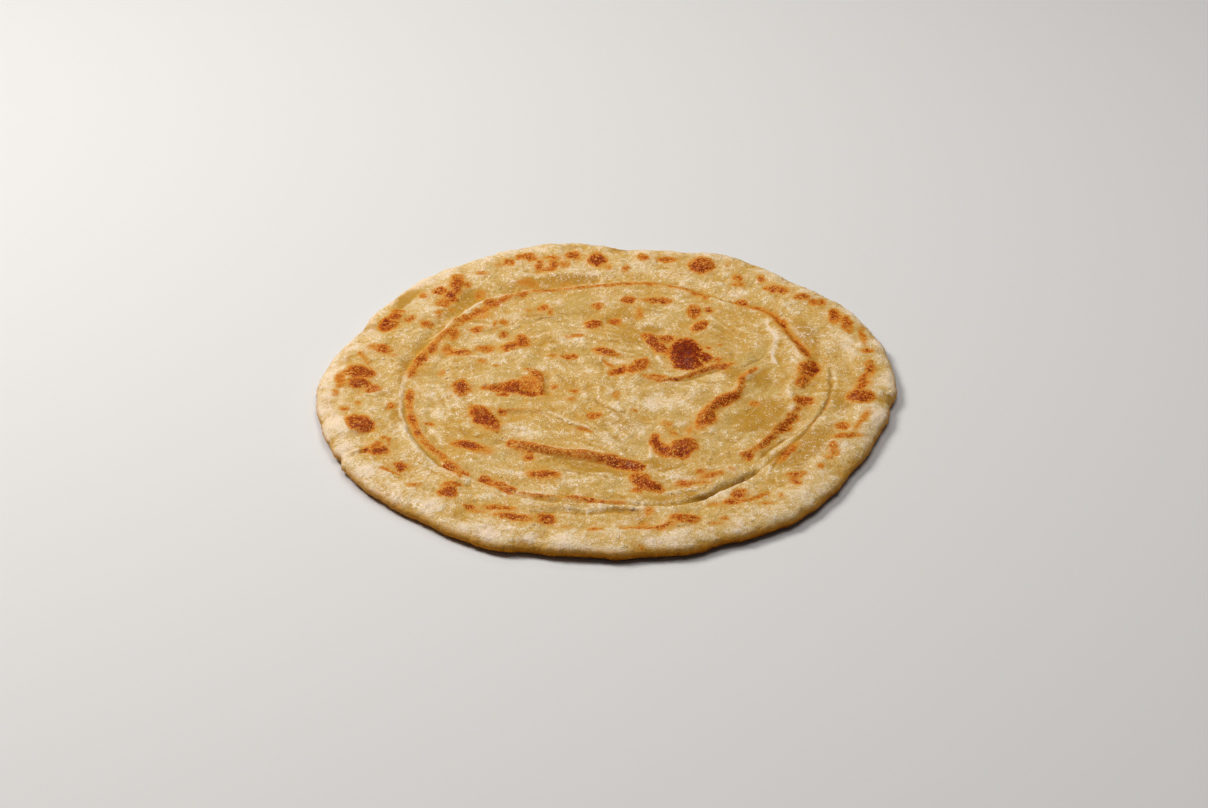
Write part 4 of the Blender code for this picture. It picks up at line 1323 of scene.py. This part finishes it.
def makeCrust():
    material = bpy.data.materials.new("bakedDough")
    material.use_nodes = True
    shader = material.node_tree.nodes["Principled BSDF"]
    sheet = NodeSheet(material.node_tree)
    place = sheet.node("ShaderNodeTexCoord", {}, {}, "Object")
    given = {name: sheet.attribute(name) for name in crust["attributes"]}
    for name, (size, detail) in crust["noises"].items():
        given[name] = sheet.noise(place, size, detail) - 0.5
    colour = doughColour(sheet, place, given)
    given["soaked"] = sheet.ease(given["soaking"], 0.12, 0.8)
    given["dry"] = sheet.ease(given["dryness"], 0.46, 1.0)
    colour = toastedColour(sheet, place, given, colour)
    colour = paintedGlintColour(sheet, given, colour)
    # the butter's thin coat, broken up, and none on browned places or the rim's wall
    oil = sheet.ease(sheet.recipe(given, crust["oil"]), 0.0, 0.7) * crust["oilStrength"]
    oil = oil * (1 - given["browned"]) * (1 - given["soaked"] * 0.4)
    oil = oil * (1 - sheet.ease(given["foot"], 0.05, 0.4)) + given["browned"] * crust["brownOil"]
    relief = {"Distance": crust["bumpDepth"], "Height": sheet.recipe(given, crust["bump"])}
    wires = {
        "Base Color": colour,
        "Roughness": sheet.recipe(given, crust["gloss"]),
        "Coat Weight": oil,
        "Normal": sheet.node("ShaderNodeBump", {}, {"Strength": 1.0, **relief}),
    }
    for name, wire in wires.items():
        material.node_tree.links.new(wire.socket, shader.inputs[name])
    for name, value in crust["sockets"].items():
        shader.inputs[name].default_value = value
    return material


def geometrySheet(name, sizes):
    # An empty Geometry Nodes tree with named inputs, and those inputs as wires
    tree = bpy.data.node_groups.new(name, "GeometryNodeTree")
    kinds = {int: "NodeSocketInt", float: "NodeSocketFloat"}
    tree.interface.new_socket("Geometry", in_out="INPUT", socket_type="NodeSocketGeometry")
    for label, value in sizes.items():
        kind = kinds.get(type(value), "NodeSocketMaterial")
        tree.interface.new_socket(label, in_out="INPUT", socket_type=kind)
    tree.interface.new_socket("Geometry", in_out="OUTPUT", socket_type="NodeSocketGeometry")
    sheet = NodeSheet(tree)
    given = tree.nodes.new("NodeGroupInput")
    return sheet, {socket.name: Wire(sheet, socket) for socket in given.outputs if socket.name}


def growPiece(name, seedMesh, sheet, grown, sizes):
    # Finish the tree, run it on the seed mesh and keep the result as a plain mesh
    solid = sheet.node("GeometryNodeRealizeInstances", {}, {"Geometry": grown})
    smooth = sheet.node("GeometryNodeSetShadeSmooth", {}, {"Geometry": solid})
    given = sheet.tree.nodes.new("NodeGroupInput")
    material = Wire(sheet, given.outputs["Material"])
    painted = sheet.node("GeometryNodeSetMaterial", {}, {"Geometry": smooth, "Material": material})
    end = sheet.tree.nodes.new("NodeGroupOutput")
    sheet.tree.links.new(painted.socket, end.inputs["Geometry"])
    piece = addObject(name, seedMesh)
    modifier = piece.modifiers.new(name, "NODES")
    modifier.node_group = sheet.tree
    for socket in sheet.tree.interface.items_tree:
        if socket.in_out == "INPUT" and socket.name in sizes:
            modifier[socket.identifier] = sizes[socket.name]
    evaluated = piece.evaluated_get(bpy.context.evaluated_depsgraph_get())
    mesh = bpy.data.meshes.new_from_object(evaluated)
    piece.modifiers.remove(modifier)
    piece.data = mesh
    print(name, "grown:", len(mesh.polygons), "faces")
    return piece


# The tree's inputs
bubbles = {
    "Each square metre": 110000.0,
    "Smallest radius": 0.45 * mm,
    "Largest radius": 1.25 * mm,
    "Sides": 9,
    "Rings": 6,
    "Flatness": 0.36,
    "Sunk": 0.6,              # share of its radius that a bubble lies deeper
    "Seed": 7,
}


def makeBubbles(doughMesh, material):
    # Small hot-air blisters all over the skin, of which only the caps show
    sizes = {**bubbles, "Material": material}
    sheet, given = geometrySheet("bubbles", sizes)
    density = given["Each square metre"] * sheet.field("bubbly")
    spread = {"Mesh": given["Geometry"], "Density": density, "Seed": given["Seed"]}
    points = sheet.node("GeometryNodeDistributePointsOnFaces", {}, spread, "Points")
    turn = Wire(sheet, points.socket.node.outputs["Rotation"])
    # squared, so that small ones are the most common
    share = sheet.node("FunctionNodeRandomValue", {"data_type": "FLOAT"}, {"Seed": given["Seed"]}, 1)
    radius = given["Smallest radius"] + share * share * (
        given["Largest radius"] - given["Smallest radius"]
    )
    scale = sheet.node(
        "ShaderNodeCombineXYZ", {}, {"X": radius, "Y": radius, "Z": radius * given["Flatness"]}
    )
    shape = {"Segments": given["Sides"], "Rings": given["Rings"], "Radius": 1.0}
    ball = sheet.node("GeometryNodeMeshUVSphere", {}, shape, "Mesh")
    lower = sheet.node("ShaderNodeCombineXYZ", {}, {"Z": 0 - given["Sunk"]})
    ball = sheet.node("GeometryNodeTransform", {}, {"Geometry": ball, "Translation": lower})
    grown = sheet.node(
        "GeometryNodeInstanceOnPoints",
        {},
        {"Points": points, "Instance": ball, "Rotation": turn, "Scale": scale},
    )
    return growPiece("bubbles", doughMesh.copy(), sheet, grown, sizes)


# The tree's inputs, then the lines that they follow, in millimetres
flakes = {
    "Thickness": 0.55,        # share of its width
    "Sides": 8,
}
flakeLines = {
    "lowerThan": 0.3,         # only strands that stand up less than this have one
    "halfWidth": 0.32,
    "sunk": 0.1,              # how far its line lies under the skin
    "samples": 14,
    "wander": 0.35,
    "butter": 0.5,            # shares of the dough's own finish there
    "browning": 0.8,
    "flour": 0.2,
    "raised": 0.15,
}


def makeFlakes(material):
    # Thin torn edges of dough that stand a little off the skin
    sizes = {**flakes, "Material": material}
    sheet, given = geometrySheet("flakes", sizes)
    curves = sheet.node("GeometryNodeMeshToCurve", {}, {"Mesh": given["Geometry"]})
    level = sheet.node("GeometryNodeSetCurveNormal", {"mode": "Z_UP"}, {"Curve": curves})
    circle = {"Resolution": given["Sides"], "Radius": 1.0}
    ring = sheet.node("GeometryNodeCurvePrimitiveCircle", {}, circle)
    squash = sheet.node("ShaderNodeCombineXYZ", {}, {"X": 1.0, "Y": given["Thickness"], "Z": 1.0})
    profile = sheet.node("GeometryNodeTransform", {}, {"Geometry": ring, "Scale": squash})
    path = {"Curve": level, "Profile Curve": profile, "Scale": sheet.field("halfWidth")}
    grown = sheet.node("GeometryNodeCurveToMesh", {}, {**path, "Fill Caps": True})
    places = []
    edges = []
    halfWidths = []
    for points, rise in strands:
        if rise >= flakeLines["lowerThan"]:
            continue
        straight = smoothThrough(points, flakeLines["samples"])
        x, y = straight.T
        strayX = flakeLines["wander"] * softNoise(x, y, 2.5, 93)
        strayY = flakeLines["wander"] * softNoise(x, y, 2.5, 94)
        x = x + strayX
        y = y + strayY
        share = np.linspace(0, 1, len(x))
        taper = 0.12 + 0.88 * smoothStep(np.minimum(share, 1 - share) / 0.3)
        uneven = 1 + 0.5 * softNoise(x, y, 3.0, 95)
        height = belowCeiling(topHeight(x, y) + skinDetail(x, y)) - flakeLines["sunk"]
        start = len(places)
        places += np.stack((x, y, height), axis=1).tolist()
        edges += [(start + i, start + i + 1) for i in range(len(x) - 1)]
        halfWidths += (flakeLines["halfWidth"] * taper * uneven).tolist()
    places = np.array(places)
    seedMesh = bpy.data.meshes.new("flakeLines")
    seedMesh.from_pydata(toMetres(places), edges, [])
    x, y, _ = places.T
    store(seedMesh, "halfWidth", np.array(halfWidths) * mm)
    store(seedMesh, "browning", flakeLines["browning"] * brownField(x, y))
    store(seedMesh, "grease", flakeLines["butter"] * zoneField(x, y, greasyZones))
    store(seedMesh, "flour", np.full(len(x), flakeLines["flour"]))
    store(seedMesh, "raised", np.full(len(x), flakeLines["raised"]))
    store(seedMesh, "marble", marbleField(x, y))
    return growPiece("flakes", seedMesh, sheet, grown, sizes)


studio = {
    "floorReach": 6.0,
    "floorHeight": -0.05 * mm,
    "floorColour": (0.62, 0.61, 0.6),
    "floorRoughness": 0.7,
    "world": (1.0, 0.98, 0.95),
    "worldStrength": 0.07,
    "lamps": {
        # place in metres, size, watts, colour
        "left": ((-0.62, 0.3, 0.85), 0.45, 10.5, (1.0, 0.98, 0.955)),
        "overhead": ((0.15, 0.1, 1.15), 0.8, 5.4, (1.0, 0.99, 0.975)),
        "behind": ((-0.1, 1.1, 1.0), 0.25, 1.7, (1.0, 0.985, 0.97)),
    },
}


def makeFloor():
    reach = studio["floorReach"]
    corners = ((-reach, -reach), (reach, -reach), (reach, reach), (-reach, reach))
    mesh = bpy.data.meshes.new("floor")
    mesh.from_pydata([(x, y, studio["floorHeight"]) for x, y in corners], [], [(0, 1, 2, 3)])
    material = bpy.data.materials.new("paleFloor")
    material.use_nodes = True
    shader = material.node_tree.nodes["Principled BSDF"]
    shader.inputs["Base Color"].default_value = (*studio["floorColour"], 1.0)
    shader.inputs["Roughness"].default_value = studio["floorRoughness"]
    mesh.materials.append(material)
    floor = addObject("floor", mesh)


def makeLights():
    world = bpy.data.worlds.new("studio")
    bpy.context.scene.world = world
    world.use_nodes = True
    backdrop = world.node_tree.nodes["Background"]
    backdrop.inputs["Color"].default_value = (*studio["world"], 1.0)
    backdrop.inputs["Strength"].default_value = studio["worldStrength"]
    for name, (place, size, watts, colour) in studio["lamps"].items():
        lamp = bpy.data.lights.new(name, "AREA")
        lamp.shape = "DISK"
        lamp.size = size
        lamp.energy = watts
        lamp.color = colour
        holder = addObject(name, lamp)
        holder.location = place
        # each lamp points at the middle of the bread
        down = -np.array(place)
        turn = math.atan2(down[1], down[0])
        tip = math.acos(-down[2] / np.linalg.norm(down))
        holder.rotation_euler = (tip, 0.0, turn - math.pi / 2)


view = {
    "elevation": 32.0,
    "distance": 950.0,        # millimetres from what it looks at
    "target": (-0.4, -11.6, 3.0),
    "pixelsPerMm": 2.76,
    "photoWidth": 1208,
    "sensor": 36.0,
}


def makeCamera():
    lens = bpy.data.cameras.new("camera")
    lens.sensor_width = view["sensor"]
    lens.lens = view["sensor"] * view["pixelsPerMm"] * view["distance"] / view["photoWidth"]
    lens.clip_start = 0.01
    camera = addObject("camera", lens)
    tilt = math.radians(view["elevation"])
    x, y, z = view["target"]
    shiftX, shiftY = boxCentre()
    camera.location = (
        (x - shiftX) * mm,
        (y - shiftY - view["distance"] * math.cos(tilt)) * mm,
        (z + view["distance"] * math.sin(tilt)) * mm,
    )
    camera.rotation_euler = (math.pi / 2 - tilt, 0.0, 0.0)
    bpy.context.scene.camera = camera


bpy.context.scene.view_settings.view_transform = "Standard"
makeCamera()
print("camera placed")
makeFloor()
makeLights()
print("studio lit")
crustMaterial = makeCrust()
dough = buildDoughObject()
dough.data.materials.append(crustMaterial)
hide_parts("paratha")
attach(dough, "root")
print("dough shaped:", len(dough.data.polygons), "faces")
for piece in (makeBubbles(dough.data, crustMaterial), makeFlakes(crustMaterial)):
    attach(piece, "root")
